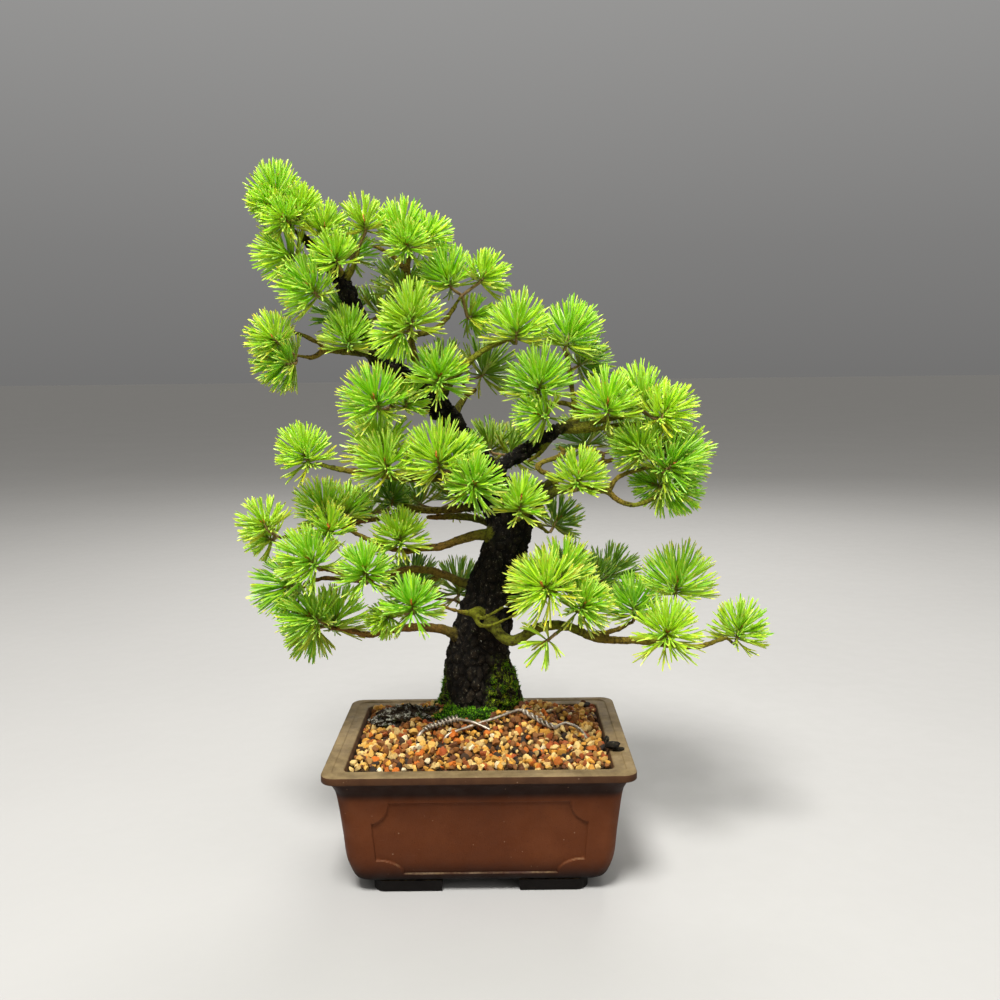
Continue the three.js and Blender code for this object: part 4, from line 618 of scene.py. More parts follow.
def make_object(name, vertices, faces, looks, smooth=True, points=None, corners=None, slots=None):
    """A mesh object from millimetres in the tables' frame, with float attributes on points and faces."""
    obj = bare_object(name, np.asarray(vertices) * MM + SHIFT, faces)
    mesh = obj.data
    for domain, table in (("POINT", points or {}), ("FACE", corners or {})):
        for key, values in table.items():
            attribute = mesh.attributes.new(key, "FLOAT", domain)
            attribute.data.foreach_set("value", np.asarray(values, np.float32))
    for look in looks if isinstance(looks, list) else [looks]:
        mesh.materials.append(look)
    if slots is not None:
        mesh.polygons.foreach_set("material_index", np.asarray(slots, np.int32))
    mesh.polygons.foreach_set("use_smooth", np.broadcast_to(smooth, len(mesh.polygons)).copy())
    mesh.update()
    return obj


def dress(obj, slot, *nodes):
    """Puts a finished piece on the pot's body, in place of the CAD nodes named."""
    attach(obj, "root")
    if nodes:
        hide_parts(*nodes)
    return obj


def smooth_path(rows, step):
    """Catmull-Rom points through rows of x, y, z and any further values, about step apart."""
    rows = np.asarray(rows, float)
    padded = np.vstack([2 * rows[0] - rows[1], rows, 2 * rows[-1] - rows[-2]])
    out = []
    for i in range(1, len(rows)):
        a, b, c, d = padded[i - 1:i + 3]
        count = max(1, int(round(np.linalg.norm((c - b)[:3]) / step)))
        for t in np.arange(count) / count:
            out.append(0.5 * (2 * b + (c - a) * t + (2 * a - 5 * b + 4 * c - d) * t ** 2
                              + (3 * b - a - 3 * c + d) * t ** 3))
    out.append(rows[-1])
    return np.array(out)


def path_frames(points):
    """Directions along a path, and two axes square to them that are carried along it with no twist."""
    ahead = unit(np.gradient(points, axis=0))
    helper = np.array([0.0, 1.0, 0.0]) if abs(ahead[0][1]) < 0.9 else np.array([1.0, 0.0, 0.0])
    across = [unit(np.cross(helper, ahead[0]))]
    for direction in ahead[1:]:
        previous = across[-1]
        across.append(unit(previous - direction * np.dot(previous, direction)))
    across = np.array(across)
    return across, np.cross(ahead, across)


def square_axes(direction):
    """Two axes square to each direction."""
    upright = np.abs(direction[..., 2:3]) < 0.9
    helper = np.where(upright, np.array([0.0, 0.0, 1.0]), np.array([1.0, 0.0, 0.0]))
    across = unit(np.cross(helper, direction))
    return across, np.cross(direction, across)


def loft(rings):
    """Closed rings of equal length, each anticlockwise when seen from where the loft heads."""
    count = len(rings[0])
    faces = []
    for k in range(len(rings) - 1):
        for i in range(count):
            a, b = k * count + i, k * count + (i + 1) % count
            faces.append((a, b, b + count, a + count))
    last = (len(rings) - 1) * count
    faces.append(tuple(reversed(range(count))))
    faces.append(tuple(range(last, last + count)))
    return np.concatenate(rings), faces


def tube(points, radii, sides):
    across, up = path_frames(points)
    angle = circle(sides)
    return loft([points[k] + radii[k] * around(angle, across[k], up[k]) for k in range(len(points))])


# Looks


def linear(red, green, blue):
    """A colour given as screen values from 0 to 255."""
    def channel(value):
        value /= 255
        return value / 12.92 if value <= 0.04045 else ((value + 0.055) / 1.055) ** 2.4
    return (channel(red), channel(green), channel(blue), 1.0)


class Look:
    """A node material, built up step by step. A colour is a socket, or screen values."""

    def __init__(self, name, roughness, specular):
        self.material = bpy.data.materials.new(name)
        self.material.use_nodes = True
        self.nodes = self.material.node_tree.nodes
        self.links = self.material.node_tree.links
        self.shader = self.nodes["Principled BSDF"]
        self.put(self.shader, {"Roughness": roughness, "Specular IOR Level": specular})
        self.place = self.nodes.new("ShaderNodeTexCoord").outputs["Object"]

    def put(self, node, inputs):
        for key, value in inputs.items():
            if isinstance(value, bpy.types.NodeSocket):
                self.links.new(value, node.inputs[key])
            else:
                node.inputs[key].default_value = value

    def add(self, kind, inputs, output, **settings):
        """A new node's output."""
        node = self.nodes.new("ShaderNode" + kind)
        for key, value in settings.items():
            setattr(node, key, value)
        self.put(node, inputs)
        return node.outputs[output]

    def scaled(self, *scale):
        return self.add("Mapping", {"Vector": self.place, "Scale": scale}, "Vector")

    def noise(self, scale, detail=4, roughness=0.55, vector=None, distortion=0):
        inputs = {"Vector": vector or self.place, "Scale": scale, "Detail": detail, "Roughness": roughness,
                  "Distortion": distortion}
        return self.add("TexNoise", inputs, "Fac")

    def cells(self, scale):
        return self.add("TexVoronoi", {"Vector": self.place, "Scale": scale}, "Distance")

    def texture(self, settings):
        return self.noise(*settings) if isinstance(settings, tuple) else self.cells(settings)

    def attribute(self, name):
        return self.add("Attribute", {}, "Fac", attribute_name=name)

    def height(self):
        return self.add("SeparateXYZ", {"Vector": self.place}, "Z")

    def upward(self):
        """How far a face looks up, from -1 to 1."""
        return self.add("SeparateXYZ", {"Vector": self.add("NewGeometry", {}, "Normal")}, "Z")

    def span(self, value, low, high, out_low=0.0, out_high=1.0):
        """Eases from out_low to out_high as the value goes from low to high."""
        inputs = {"Value": value, "From Min": low, "From Max": high, "To Min": out_low, "To Max": out_high}
        return self.add("MapRange", inputs, "Result", interpolation_type="SMOOTHSTEP")

    def times(self, a, b):
        return self.add("Math", {0: a, 1: b}, "Value", operation="MULTIPLY")

    def ramp(self, value, stops, interpolation="LINEAR"):
        node = self.nodes.new("ShaderNodeValToRGB")
        node.color_ramp.interpolation = interpolation
        elements = node.color_ramp.elements
        while len(elements) < len(stops):
            elements.new(0.5)
        for element, (position, colour) in zip(elements, stops):
            element.position = position
            element.color = linear(*colour)
        self.put(node, {"Fac": value})
        return node.outputs["Color"]

    def mix(self, share, a, b, blend="MIX"):
        node = self.nodes.new("ShaderNodeMix")
        node.data_type = "RGBA"
        node.blend_type = blend
        colours = [k for k, socket in enumerate(node.inputs) if socket.type == "RGBA"]
        a, b = (linear(*colour) if isinstance(colour, tuple) else colour for colour in (a, b))
        self.put(node, {"Factor": share, colours[0]: a, colours[1]: b})
        return next(socket for socket in node.outputs if socket.type == "RGBA")

    def finish(self, colour, roughness, *bumps):
        """Connects the colour, the roughness and the bumps, each a texture, a height and a strength."""
        self.put(self.shader, {"Base Color": colour, "Roughness": self.span(*roughness)})
        under = {}
        for texture, distance, strength in bumps:
            inputs = {"Height": texture, "Distance": distance, "Strength": strength, **under}
            under = {"Normal": self.add("Bump", inputs, "Normal")}
        self.put(self.shader, under)
        return self.material


def plain_look(name):
    shader, texture, stops, (worn, *worn_range), bump = PLAIN_LOOKS[name]
    look = Look(name, *shader[:2])
    look.put(look.shader, {"Metallic": shader[2]})
    colour = look.ramp(look.texture(texture), stops)
    bumps = [(look.texture(bump[0]), *bump[1:])] if bump else []
    return look.finish(colour, (look.texture(worn), *worn_range), *bumps)


def clay_look():
    look = Look("clay", 0.7, 0.15)
    height, upward = look.height(), look.upward()
    browns = [(0.3, (76, 36, 14)), (0.55, (88, 44, 18)), (0.75, (101, 54, 26))]
    body = look.ramp(look.noise(14, 5, 0.6), browns)
    face = look.ramp(look.noise(60, 5, 0.6), [(0.3, (58, 34, 19)), (0.7, (80, 52, 31))])
    rim = look.ramp(look.noise(70, 6, 0.65), [(0.3, (88, 72, 47)), (0.7, (120, 101, 69))])
    # Painted shade: the body darkens almost to black from the panels' top up to the lip, where the lip's
    # shadow falls
    body = look.mix(look.times(look.span(height, *PAINTED_LIP_SHADOW), 0.88), body, (18, 8, 4))
    colour = look.mix(look.span(height, *LIP_FACE), body, face)
    flat_top = look.times(look.span(upward, 0.3, 0.8), look.span(height, *LIP_TOP))
    colour = look.mix(flat_top, colour, rim)
    # Painted shade: the clay darkens towards the foot, which lies in shade
    colour = look.mix(look.span(height, *PAINTED_FOOT_SHADE), colour, (9, 5, 3))
    dust = look.times(look.span(upward, 0.15, 0.9), look.span(look.noise(120, 6, 0.7), 0.35, 0.75))
    colour = look.mix(look.times(dust, 0.35), colour, (158, 136, 96))
    colour = look.mix(look.times(look.span(look.cells(420), 0.16, 0.06), 0.6), colour, (40, 25, 17))
    fleck = look.times(look.span(look.cells(160), 0.1, 0.04), look.span(look.noise(40), 0.5, 0.6))
    colour = look.mix(look.times(fleck, 0.6), colour, (168, 138, 110))
    scratch = look.span(look.noise(30, 6, 0.8, look.scaled(1, 1, 14), 0.6), 0.66, 0.72)
    colour = look.mix(look.times(scratch, 0.25), colour, (156, 118, 94))
    return look.finish(colour, (look.noise(80, 4), 0.3, 0.7, 0.55, 0.78),
                       (look.noise(900, 3, 0.6), 0.00018, 0.7), (look.noise(90, 4, 0.6), 0.0006, 0.35))


def bark_look():
    look = Look("bark", 0.85, 0.12)
    plates = look.noise(330, 6, 0.65)
    dark, brown = (0.32, (10, 9, 7)), (0.5, (32, 27, 20))
    old = look.ramp(plates, [dark, brown, (0.64, (50, 42, 31)), (0.76, (90, 82, 66))])
    crust = look.span(look.noise(560, 4, 0.7), 0.6, 0.65)
    old = look.mix(look.times(crust, 0.5), old, (150, 144, 122))
    young = look.mix(look.attribute("tone"), (124, 128, 30), (140, 98, 46))
    young = look.mix(look.span(look.noise(420, 5, 0.7), 0.42, 0.68), young, (70, 58, 24))
    colour = look.mix(look.attribute("age"), young, old)
    colour = look.mix(look.times(look.attribute("crack"), 0.85), colour, (10, 8, 6))
    moss = look.times(look.attribute("moss"), look.span(look.noise(190, 6, 0.8), 0.5, 0.57))
    green = [(0.36, (20, 34, 4)), (0.5, (96, 124, 14)), (0.62, (176, 190, 44))]
    colour = look.mix(moss, colour, look.ramp(look.noise(800, 4, 0.7), green))
    return look.finish(colour, (plates, 0.3, 0.7, 0.7, 0.95),
                       (look.noise(420, 8, 0.75), 0.0022, 1.0), (look.cells(900), 0.0006, 0.7))


def needle_look():
    look = Look("foliage", 0.42, 0.35)
    along, vary = look.attribute("along"), look.attribute("vary")
    # Painted shade: the shade attribute mixes the lit green towards a darker one
    sunny = look.mix(vary, (130, 202, 18), (200, 232, 44))
    deep = look.mix(vary, (58, 106, 22), (118, 152, 32))
    green = look.mix(look.attribute("shade"), sunny, deep)
    olive = look.mix(vary, (128, 132, 26), (196, 182, 46))
    green = look.mix(look.times(look.attribute("old"), 0.75), green, olive)
    base = look.mix(look.span(along, 0.0, 0.3), (120, 140, 34), green)
    gold = look.times(look.span(along, 0.8, 1.0), look.attribute("gold"))
    stomata = look.times(look.attribute("inner"), look.span(along, 0.2, 0.8, 0.05, 0.36))
    colour = look.mix(stomata, look.mix(gold, base, (226, 200, 60)), (206, 236, 128))
    look.put(look.shader, {
        "Subsurface Weight": 0.12, "Subsurface Radius": (0.4, 0.9, 0.1), "Subsurface Scale": 0.001,
    })
    return look.finish(colour, (look.noise(900, 2), 0.3, 0.7, 0.34, 0.5),
                       (look.noise(1400, 2, 0.5), 0.00008, 0.4))


def stone_look():
    look = Look("gravel", 0.85, 0.3)
    colour = look.ramp(look.attribute("tone"), STONE_COLOURS, "CONSTANT")
    worn = look.span(look.noise(700, 5, 0.7), 0.35, 0.7)
    colour = look.mix(look.times(worn, 0.55), colour, (196, 170, 128), "OVERLAY")
    pits = look.span(look.noise(1500, 3, 0.6), 0.62, 0.7)
    colour = look.mix(look.times(pits, 0.5), colour, (70, 46, 26))
    dull = look.times(look.span(look.attribute("glow"), 1.0, 0.0), 0.4)
    colour = look.mix(dull, colour, (92, 62, 30))
    return look.finish(colour, (look.noise(500, 4), 0.3, 0.7, 0.6, 0.9),
                       (look.noise(1300, 5, 0.65), 0.0005, 0.9))


def moss_look():
    look = Look("moss", 0.9, 0.1)
    green = look.mix(look.attribute("vary"), (64, 148, 8), (150, 200, 30))
    clump = look.span(look.noise(170, 3, 0.6), 0.42, 0.6)
    green = look.mix(look.times(clump, 0.6), green, (36, 84, 6))
    colour = look.mix(look.span(look.attribute("along"), 0.0, 0.7), (20, 38, 6), green)
    return look.finish(colour, (look.noise(900, 3), 0.3, 0.7, 0.75, 1.0), (look.noise(1600, 3), 0.0003, 0.7))


def humus_look():
    look = Look("humus", 0.95, 0.1)
    crumbs = look.noise(420, 7, 0.75)
    dark = look.ramp(crumbs, [(0.3, (12, 9, 6)), (0.55, (46, 34, 22)), (0.75, (92, 70, 44))])
    dark = look.mix(look.span(look.noise(60, 4, 0.7), 0.56, 0.62), dark, (46, 60, 16))
    lichen = look.times(look.span(look.noise(110, 6, 0.8), 0.5, 0.58), look.span(look.upward(), 0.0, 0.5))
    colour = look.mix(lichen, dark, (172, 168, 152))
    return look.finish(colour, (crumbs, 0.3, 0.7, 0.8, 1.0), (crumbs, 0.0016, 1.0))


# Wood: the trunk, its branches and a twig to each spray, grown together and cut with bark


class Wood:
    """Samples along all the wood: places, radii, directions of growth and how old the bark is."""

    def __init__(self):
        self.places = np.zeros((0, 3))
        self.radii = np.zeros(0)
        self.ahead = np.zeros((0, 3))
        self.bark = np.zeros(0)
        self.tubes = []

    def add(self, shape, points, radii, bark=1.0):
        self.tubes.append(shape)
        self.places = np.vstack([self.places, points])
        self.radii = np.concatenate([self.radii, radii])
        self.ahead = np.vstack([self.ahead, unit(np.gradient(points, axis=0))])
        self.bark = np.concatenate([self.bark, np.full(len(points), bark)])

    def add_path(self, path, sides, bark=1.0):
        points, radii = path[:, :3], path[:, 3]
        self.add(tube(points, radii * BRANCH_SWELL, sides), points, radii, bark)


def grow_trunk(wood):
    path = smooth_path([(*seen(x, z, y), radius * sight_scale(y), z) for x, z, y, radius in TRUNK], 3)
    points, radii, heights = path[:, :3], path[:, 3], path[:, 4]
    across, up = path_frames(points)
    angle = circle(TRUNK_SIDES)
    rings = []
    for k, point in enumerate(points):
        flare = 1 - smoothstep(*TRUNK_FLARE, heights[k])
        ratio = 1 + (TRUNK_DEPTH_RATIO - 1) * flare
        swell = np.ones(TRUNK_SIDES)
        for lobes, share, phase in TRUNK_GROWTH:
            swell += share * (1 + flare) * np.sin(lobes * angle + phase + heights[k] * LOBE_TWIST * lobes)
        size = radii[k] * swell * np.hypot(np.cos(angle), ratio * np.sin(angle))
        rings.append(point + size[:, None] * around(angle, across[k], up[k]))
    wood.add(loft(rings), points, radii)


def grow_wood(sprays):
    wood = Wood()
    grow_trunk(wood)
    for name, table in BRANCHES.items():
        path = smooth_path([(*seen(x, z, y), radius) for x, z, y, radius in table], 2)
        wood.add_path(path, BRANCH_SIDES, BARE_BRANCHES.get(name, 1.0))
    for spray in sprays:
        wood.add_path(twig_to(spray, wood), TWIG_SIDES)
    return wood


def twig_to(spray, wood):
    """A twig from the nearest wood to a spray's foot, leaving the wood at a slant."""
    foot = spray["base"] + TWIG["overlap"] * spray["aim"]
    nearest = int(np.argmin(np.linalg.norm(wood.places - foot, axis=1) - wood.radii))
    previous = max(nearest - 1, 0)
    apart = np.linalg.norm(wood.places[previous] - wood.places[nearest])
    start = previous if apart < TWIG["near"] else nearest
    origin = wood.places[start]
    length = np.linalg.norm(foot - origin)
    leave = unit(unit(foot - origin) + TWIG["lean"] * wood.ahead[start])
    handle = TWIG["stiff"] * length
    first, second = origin + handle * leave, foot - handle * spray["aim"]
    t = np.linspace(0, 1, max(4, int(length / 2)))[:, None]
    points = ((1 - t) ** 3 * origin + 3 * (1 - t) ** 2 * t * first
              + 3 * (1 - t) * t ** 2 * second + t ** 3 * foot)
    root = min(wood.radii[start], TWIG["root"] + TWIG["growth"] * length)
    return np.hstack([points, root + (TWIG["tip"] - root) * t])


def nearest_wood(points, wood, block=2000):
    """The sample whose surface lies nearest to each point."""
    nearest = []
    for start in range(0, len(points), block):
        gap = np.linalg.norm(points[start:start + block, None] - wood.places[None], axis=2) - wood.radii[None]
        nearest.append(np.argmin(gap, axis=1))
    return np.concatenate(nearest)


def outer_skin(vertices, faces, voxel):
    """The outer skin of overlapping closed tubes, as vertices, faces and normals."""
    obj = bare_object("skin", vertices, faces)
    skin = obj.modifiers.new("skin", "REMESH")
    skin.mode = "VOXEL"
    skin.voxel_size = voxel
    ease = obj.modifiers.new("ease", "SMOOTH")
    ease.factor = 0.5
    ease.iterations = 2
    return worked(obj)


def bark_cracks(points, age):
    """How deep in a crack between plates of bark each point lies, from 0 to 1."""
    gap = np.ones(len(points))
    for i in np.flatnonzero(age > BARK["least_age"]):
        near, _ = noise.voronoi(Vector(points[i] * BARK["plate_stretch"]) * BARK["plate_scale"])
        gap[i] = near[1] - near[0]
    return (1 - smoothstep(BARK["crack_start"], BARK["crack_width"], gap)) * age


def trunk_moss(points, radius):
    """Where moss grows: up the trunk's right side, a little up its left, and round its foot."""
    aside, height = points[:, 0] + 5 * noise_at(points, 0.05, 33), points[:, 2]
    right = smoothstep(*TRUNK_MOSS["right"], aside) * (1 - smoothstep(*TRUNK_MOSS["right_top"], height))
    left = smoothstep(*TRUNK_MOSS["left"], aside) * (1 - smoothstep(*TRUNK_MOSS["left_top"], height))
    foot = 1 - smoothstep(*TRUNK_MOSS["foot_top"], height)
    return np.maximum(np.maximum(right, 0.8 * left), 0.8 * foot) * (radius > TRUNK_MOSS["least_radius"])


def wood_piece(wood, look):
    points, polygons, normals = outer_skin(*joined(wood.tubes), WOOD_VOXEL)
    nearest = nearest_wood(points, wood)
    radius = wood.radii[nearest]
    age = smoothstep(*BARK["old_radii"], radius) * wood.bark[nearest]
    crack = bark_cracks(points, age)
    old_relief = waves_at(points, BARK_LUMPS) * BARK["lump"] - crack * BARK["crack_depth"]
    shift = age * old_relief + (1 - age) * waves_at(points, TWIG_RIPPLES)
    shift[points[:, 2] < GROUND_LEVEL] = 0
    points = points + normals * shift[:, None]
    moss = trunk_moss(points, radius)
    leftward = smoothstep(-2, -30, points[:, 0]) * (1 - smoothstep(250, 275, points[:, 2]))
    tone = np.clip(0.2 + 0.7 * leftward + 0.9 * noise_at(points, 0.035, 21), 0, 1)
    values = {"age": age, "crack": crack, "moss": moss, "tone": tone}
    dress(make_object("bonsai_wood", points, polygons, look, True, values), "bark", "trunk_and_branches")
    return points, normals, moss


# Foliage: needles in bundles of five round each shoot


def spray_plan(name, table):
    foot, *rows = table
    tufts = []
    for x, z, y, aim, reach, bands in rows:
        reach *= sight_scale(y)
        tufts.append({"heart": seen(x, z, y), "aim": unit(aim), "reach": reach, "bands": bands})
    if foot:
        base = seen(*foot)
        aim = unit(sum(unit(tuft["heart"] - base) for tuft in tufts))
    else:
        aim = tufts[0]["aim"]
        base = tufts[0]["heart"] - LONE_STEM * aim
    return {"name": name, "tufts": tufts, "aim": aim, "base": base}


def shoot_of(tuft):
    """Where a tuft's shoot starts, and its length."""
    length = NEEDLE["band"] * tuft["bands"]
    return tuft["heart"] - tuft["aim"] * (length / 2 + 1), length


def tuft_needles(tuft, rng):
    """Roots, fascicle directions, needle directions, leans, lengths and ages of one tuft."""
    count, per = NEEDLE["fascicles"][tuft["bands"]], NEEDLE["per_fascicle"]
    aim = tuft["aim"]
    start, length = shoot_of(tuft)
    across, up = square_axes(aim)
    closest = math.cos(math.radians(NEEDLE["closest"]))
    widest = math.cos(math.radians(NEEDLE["widest"]))
    order = (np.arange(count) + 0.5) / count
    slant = np.arccos(widest + (closest - widest) * order) + rng.normal(0, 0.07, count)
    turn = GOLDEN_ANGLE * np.arange(count) + rng.uniform(*ANY_TURN) + rng.normal(0, 0.12, count)
    outward = around(turn, across, up)
    direction = np.cos(slant)[:, None] * aim + np.sin(slant)[:, None] * outward
    root = start + (order ** 0.9 * (length + 1.2))[:, None] * aim
    root = root + outward * (1.1 * (1 - 0.6 * order))[:, None]
    root = np.repeat(root, per, axis=0)
    bundle = np.repeat(direction, per, axis=0)
    side, other = square_axes(bundle)
    place = np.tile(circle(per), count) + np.repeat(rng.uniform(*ANY_TURN, count), per)
    spread = np.radians(NEEDLE["spread"]) * rng.uniform(0.45, 1.25, count * per)
    lean = around(place, side, other)
    way = unit(bundle + np.tan(spread)[:, None] * lean + NEEDLE["arch"] * aim)
    reach = tuft["reach"] * np.repeat(rng.uniform(0.9, 1.0, count), per)
    reach = reach * rng.uniform(0.84, 1.02, count * per)
    old = np.repeat(1 - smoothstep(0.04, 0.3, order + rng.normal(0, 0.05, count)), per)
    return root, bundle, way, lean, reach, old


def inside_box(root, way, reach):
    """Needle lengths cut so that no tip leaves the box of the CAD model."""
    low, high = ((np.array(corner) - SHIFT) / MM for corner in CAD_BOX)
    low, high = low + BOX_MARGIN, high - BOX_MARGIN
    tip = root + way * reach[:, None]
    share = np.ones(len(reach))
    for axis in range(3):
        run = way[:, axis] * reach
        for over, limit in ((tip[:, axis] > high[axis], high[axis]), (tip[:, axis] < low[axis], low[axis])):
            share[over] = np.minimum(share[over], (limit - root[over, axis]) / run[over])
    return reach * np.clip(share, 0.1, 1)


def clear_of_wood(root, tip, places, radii):
    """True for each needle that stays out of the thick wood."""
    clear = np.ones(len(root), bool)
    for t in NEEDLE["checked_at"]:
        spot = root + (tip - root) * t
        gap = np.linalg.norm(spot[:, None] - places[None], axis=2) - radii[None]
        clear &= gap.min(axis=1) > -NEEDLE["sinks"]
    return clear


def needle_pattern():
    """One needle's faces, and which of them are pale inner ones."""
    faces, inner = [], []
    last = (len(NEEDLE_STATIONS) - 1) * 3
    for s in range(0, last + 3, 3):
        for c in range(3):
            a, b = s + c, s + (c + 1) % 3
            faces.append((b, a, a + 3, b + 3) if s < last else (b, a, last + 3))
            inner.append(0.0 if c == 0 else 1.0)
    return faces, inner


def needle_mesh(root, bundle, way, lean, reach, rng):
    """Three-sided tapered needles: a green outer face and two pale inner ones."""
    count = len(root)
    level = np.linalg.norm(way[:, :2], axis=1)
    tip = root + way * reach[:, None]
    tip = tip - np.array([0, 0, 1.0]) * (reach * level * NEEDLE["droop"])[:, None]
    middle = root + bundle * (0.5 * reach)[:, None] + rng.normal(0, 0.5, (count, 3))
    outer = unit(lean - way * np.sum(lean * way, axis=1)[:, None])
    flank = np.cross(way, outer)
    size = len(NEEDLE_STATIONS) * 3 + 1
    points = np.empty((count, size, 3))
    for s, (t, half) in enumerate(zip(NEEDLE_STATIONS, NEEDLE["half_width"] * NEEDLE_WIDTHS)):
        centre = (1 - t) ** 2 * root + 2 * t * (1 - t) * middle + t * t * tip
        for c, (out, beside) in enumerate(NEEDLE_CORNERS):
            points[:, s * 3 + c] = centre + half * (out * outer + beside * flank)
    points[:, -1] = tip
    pattern, inner = needle_pattern()
    faces = [tuple(n * size + i for i in polygon) for n in range(count) for polygon in pattern]
    along = np.tile(np.append(np.repeat(NEEDLE_STATIONS, 3), 1.0), count)
    return points.reshape(-1, 3), faces, along, np.tile(inner, count), size


def bud_mesh(place, aim, length, radius):
    stations = np.array([0, 0.2, 0.45, 0.75, 1.0])
    widths = np.array([0.75, 1.0, 0.85, 0.42, 0.06]) * radius
    return tube(place + np.outer(stations * length, aim), widths, 7)


def shoot_parts(tuft, spray, rng):
    """A tuft's shoot and its buds, each with its place in the list of looks."""
    aim = tuft["aim"]
    start, length = shoot_of(tuft)
    foot = spray["base"] - 0.6 * spray["aim"]
    fork = spray["base"] + (0 if len(spray["tufts"]) == 1 else FORK_HEIGHT) * spray["aim"]
    stem = smooth_path([foot, fork, start, start + aim * length], 2.0)
    widths = np.interp(np.linspace(0, 1, len(stem)), *SHOOT_WIDTHS)
    top = start + aim * (length + 0.2)
    parts = [(*tube(stem, widths, 7), 1), (*bud_mesh(top, aim, *TIP_BUD), 2)]
    across, up = square_axes(aim)
    for turn in rng.uniform(*ANY_TURN, 2):
        aside = unit(aim + 0.6 * (math.cos(turn) * across + math.sin(turn) * up))
        parts.append((*bud_mesh(top - 0.4 * aim, aside, *SIDE_BUD), 2))
    return parts


def spray_piece(spray, looks, thick, seed):
    rng = np.random.default_rng(seed)
    # Painted shade: sprays in the tree's shade get a darker green
    shade = NEEDLE["deep_shade" if spray["name"] in SHADED_SPRAYS else "shade"]
    gold_power = 0.5 if spray["name"] in YELLOW_TIPPED else 3
    parts, slots, sides = [], [], []
    values = {"along": [], "vary": [], "shade": [], "gold": [], "old": []}
    for tuft in spray["tufts"]:
        root, bundle, way, lean, reach, old = tuft_needles(tuft, rng)
        reach = inside_box(root, way, reach)
        keep = clear_of_wood(root, root + way * reach[:, None], *thick) & (reach > NEEDLE["shortest"])
        root, bundle, way, lean, reach, old = (kept[keep] for kept in (root, bundle, way, lean, reach, old))
        points, faces, along, inner, size = needle_mesh(root, bundle, way, lean, reach, rng)
        count = len(root)
        values["along"].append(along)
        vary = np.clip(rng.normal(0.5, 0.25, count) + rng.normal(0, 0.2), 0, 1)
        values["vary"].append(np.repeat(vary, size))
        values["shade"].append(np.full(len(points), np.clip(shade + rng.normal(0, 0.08), 0, 1)))
        values["gold"].append(np.repeat(rng.uniform(0, 1, count) ** gold_power, size))
        values["old"].append(np.repeat(old, size))
        parts.append((points, faces))
        slots.append(np.zeros(len(faces)))
        sides.append(inner)
        for points, faces, slot in shoot_parts(tuft, spray, rng):
            parts.append((points, faces))
            slots.append(np.full(len(faces), slot))
            sides.append(np.zeros(len(faces)))
            for row in values.values():
                row.append(np.zeros(len(points)))
    slots = np.concatenate(slots)
    points = {key: np.concatenate(row) for key, row in values.items()}
    corners = {"inner": np.concatenate(sides)}
    piece = make_object(f"foliage_{spray['name']}", *joined(parts), looks, slots != 0, points, corners, slots)
    return dress(piece, "foliage", f"needles_{spray['name']}")


# Pot: rings from the underside, over the lip and down to the floor inside


def pot_wall():
    """Rows of the outside wall: half length, half depth, corner radius, height."""
    dense = smooth_path(POT_OUTSIDE, 0.3)
    dense = dense[np.argsort(dense[:, 3])]
    return [[*(np.interp(z, dense[:, 3], dense[:, c]) for c in range(3)), z] for z in POT_ROWS]


def panel_half(panel, z):
    share = np.clip((z - PANEL_BOTTOM) / (PANEL_TOP - PANEL_BOTTOM), 0, 1)
    return panel["half_bottom"] + (panel["half_top"] - panel["half_bottom"]) * share


def column_places(edge, notch, straight):
    """Places along one straight side, from its middle to its end, close together near the panel's edge."""
    inner = max(edge - notch - 1.5, 10)
    coarse = np.linspace(0, inner, 12)
    fine = np.linspace(inner, edge - 1.3, 24)[1:]
    rim = np.array([edge - 0.95, edge - 0.65, edge - 0.35, edge, edge + 0.3])
    rest = np.linspace(edge + 0.3, max(straight, edge + 0.5), 5)[1:]
    places = np.concatenate([coarse, fine, rim, rest])
    places[-1] = straight
    return places


def pot_ring(half_x, half_y, radius, z):
    """A ring with columns that follow the panels' upright edges, and where those edges lie."""
    straight_x, straight_y = half_x - radius, half_y - radius
    edge_x = min(panel_half(FRONT_PANEL, z), straight_x - PANEL_CLEAR)
    edge_y = min(panel_half(SIDE_PANEL, z), straight_y - PANEL_CLEAR)
    along_x = column_places(edge_x, FRONT_PANEL["notch_bottom"][0], straight_x)
    along_y = column_places(edge_y, SIDE_PANEL["notch_bottom"][0], straight_y)
    arc = np.radians(np.linspace(0, 90, 12))[1:-1]
    ring = [(half_x, y) for y in along_y]
    ring += [(straight_x + radius * math.cos(a), straight_y + radius * math.sin(a)) for a in arc]
    ring += [(x, half_y) for x in along_x[::-1]]
    ring += [(-x, y) for x, y in ring[-2::-1]]
    ring += [(x, -y) for x, y in ring[-2:0:-1]]
    return np.array([(x, y, z) for x, y in ring]), edge_x, edge_y


def outside_notch(across, along, size):
    """Distance, near enough, from a quarter ellipse with its middle at a panel's corner."""
    share = np.hypot(across / size[0], along / size[1])
    return (share - 1) * (size[0] + size[1]) / 2


def panel_inset(along, z, edge, panel):
    """How far inside a panel's outline a place on the wall lies, in millimetres."""
    aside, above, below = np.abs(along), z - PANEL_BOTTOM, PANEL_TOP - z
    lower = outside_notch(np.abs(aside - panel["half_bottom"]), above, panel["notch_bottom"])
    upper = outside_notch(np.abs(aside - panel["half_top"]), below, panel["notch_top"])
    level = np.full_like(along, min(above, below))
    return np.minimum.reduce([edge - aside, level, lower, upper])


def sunk_by(along, z, edge, panel):
    return POT["panel_depth"] * smoothstep(0, PANEL_EDGE, panel_inset(along, z, edge, panel))


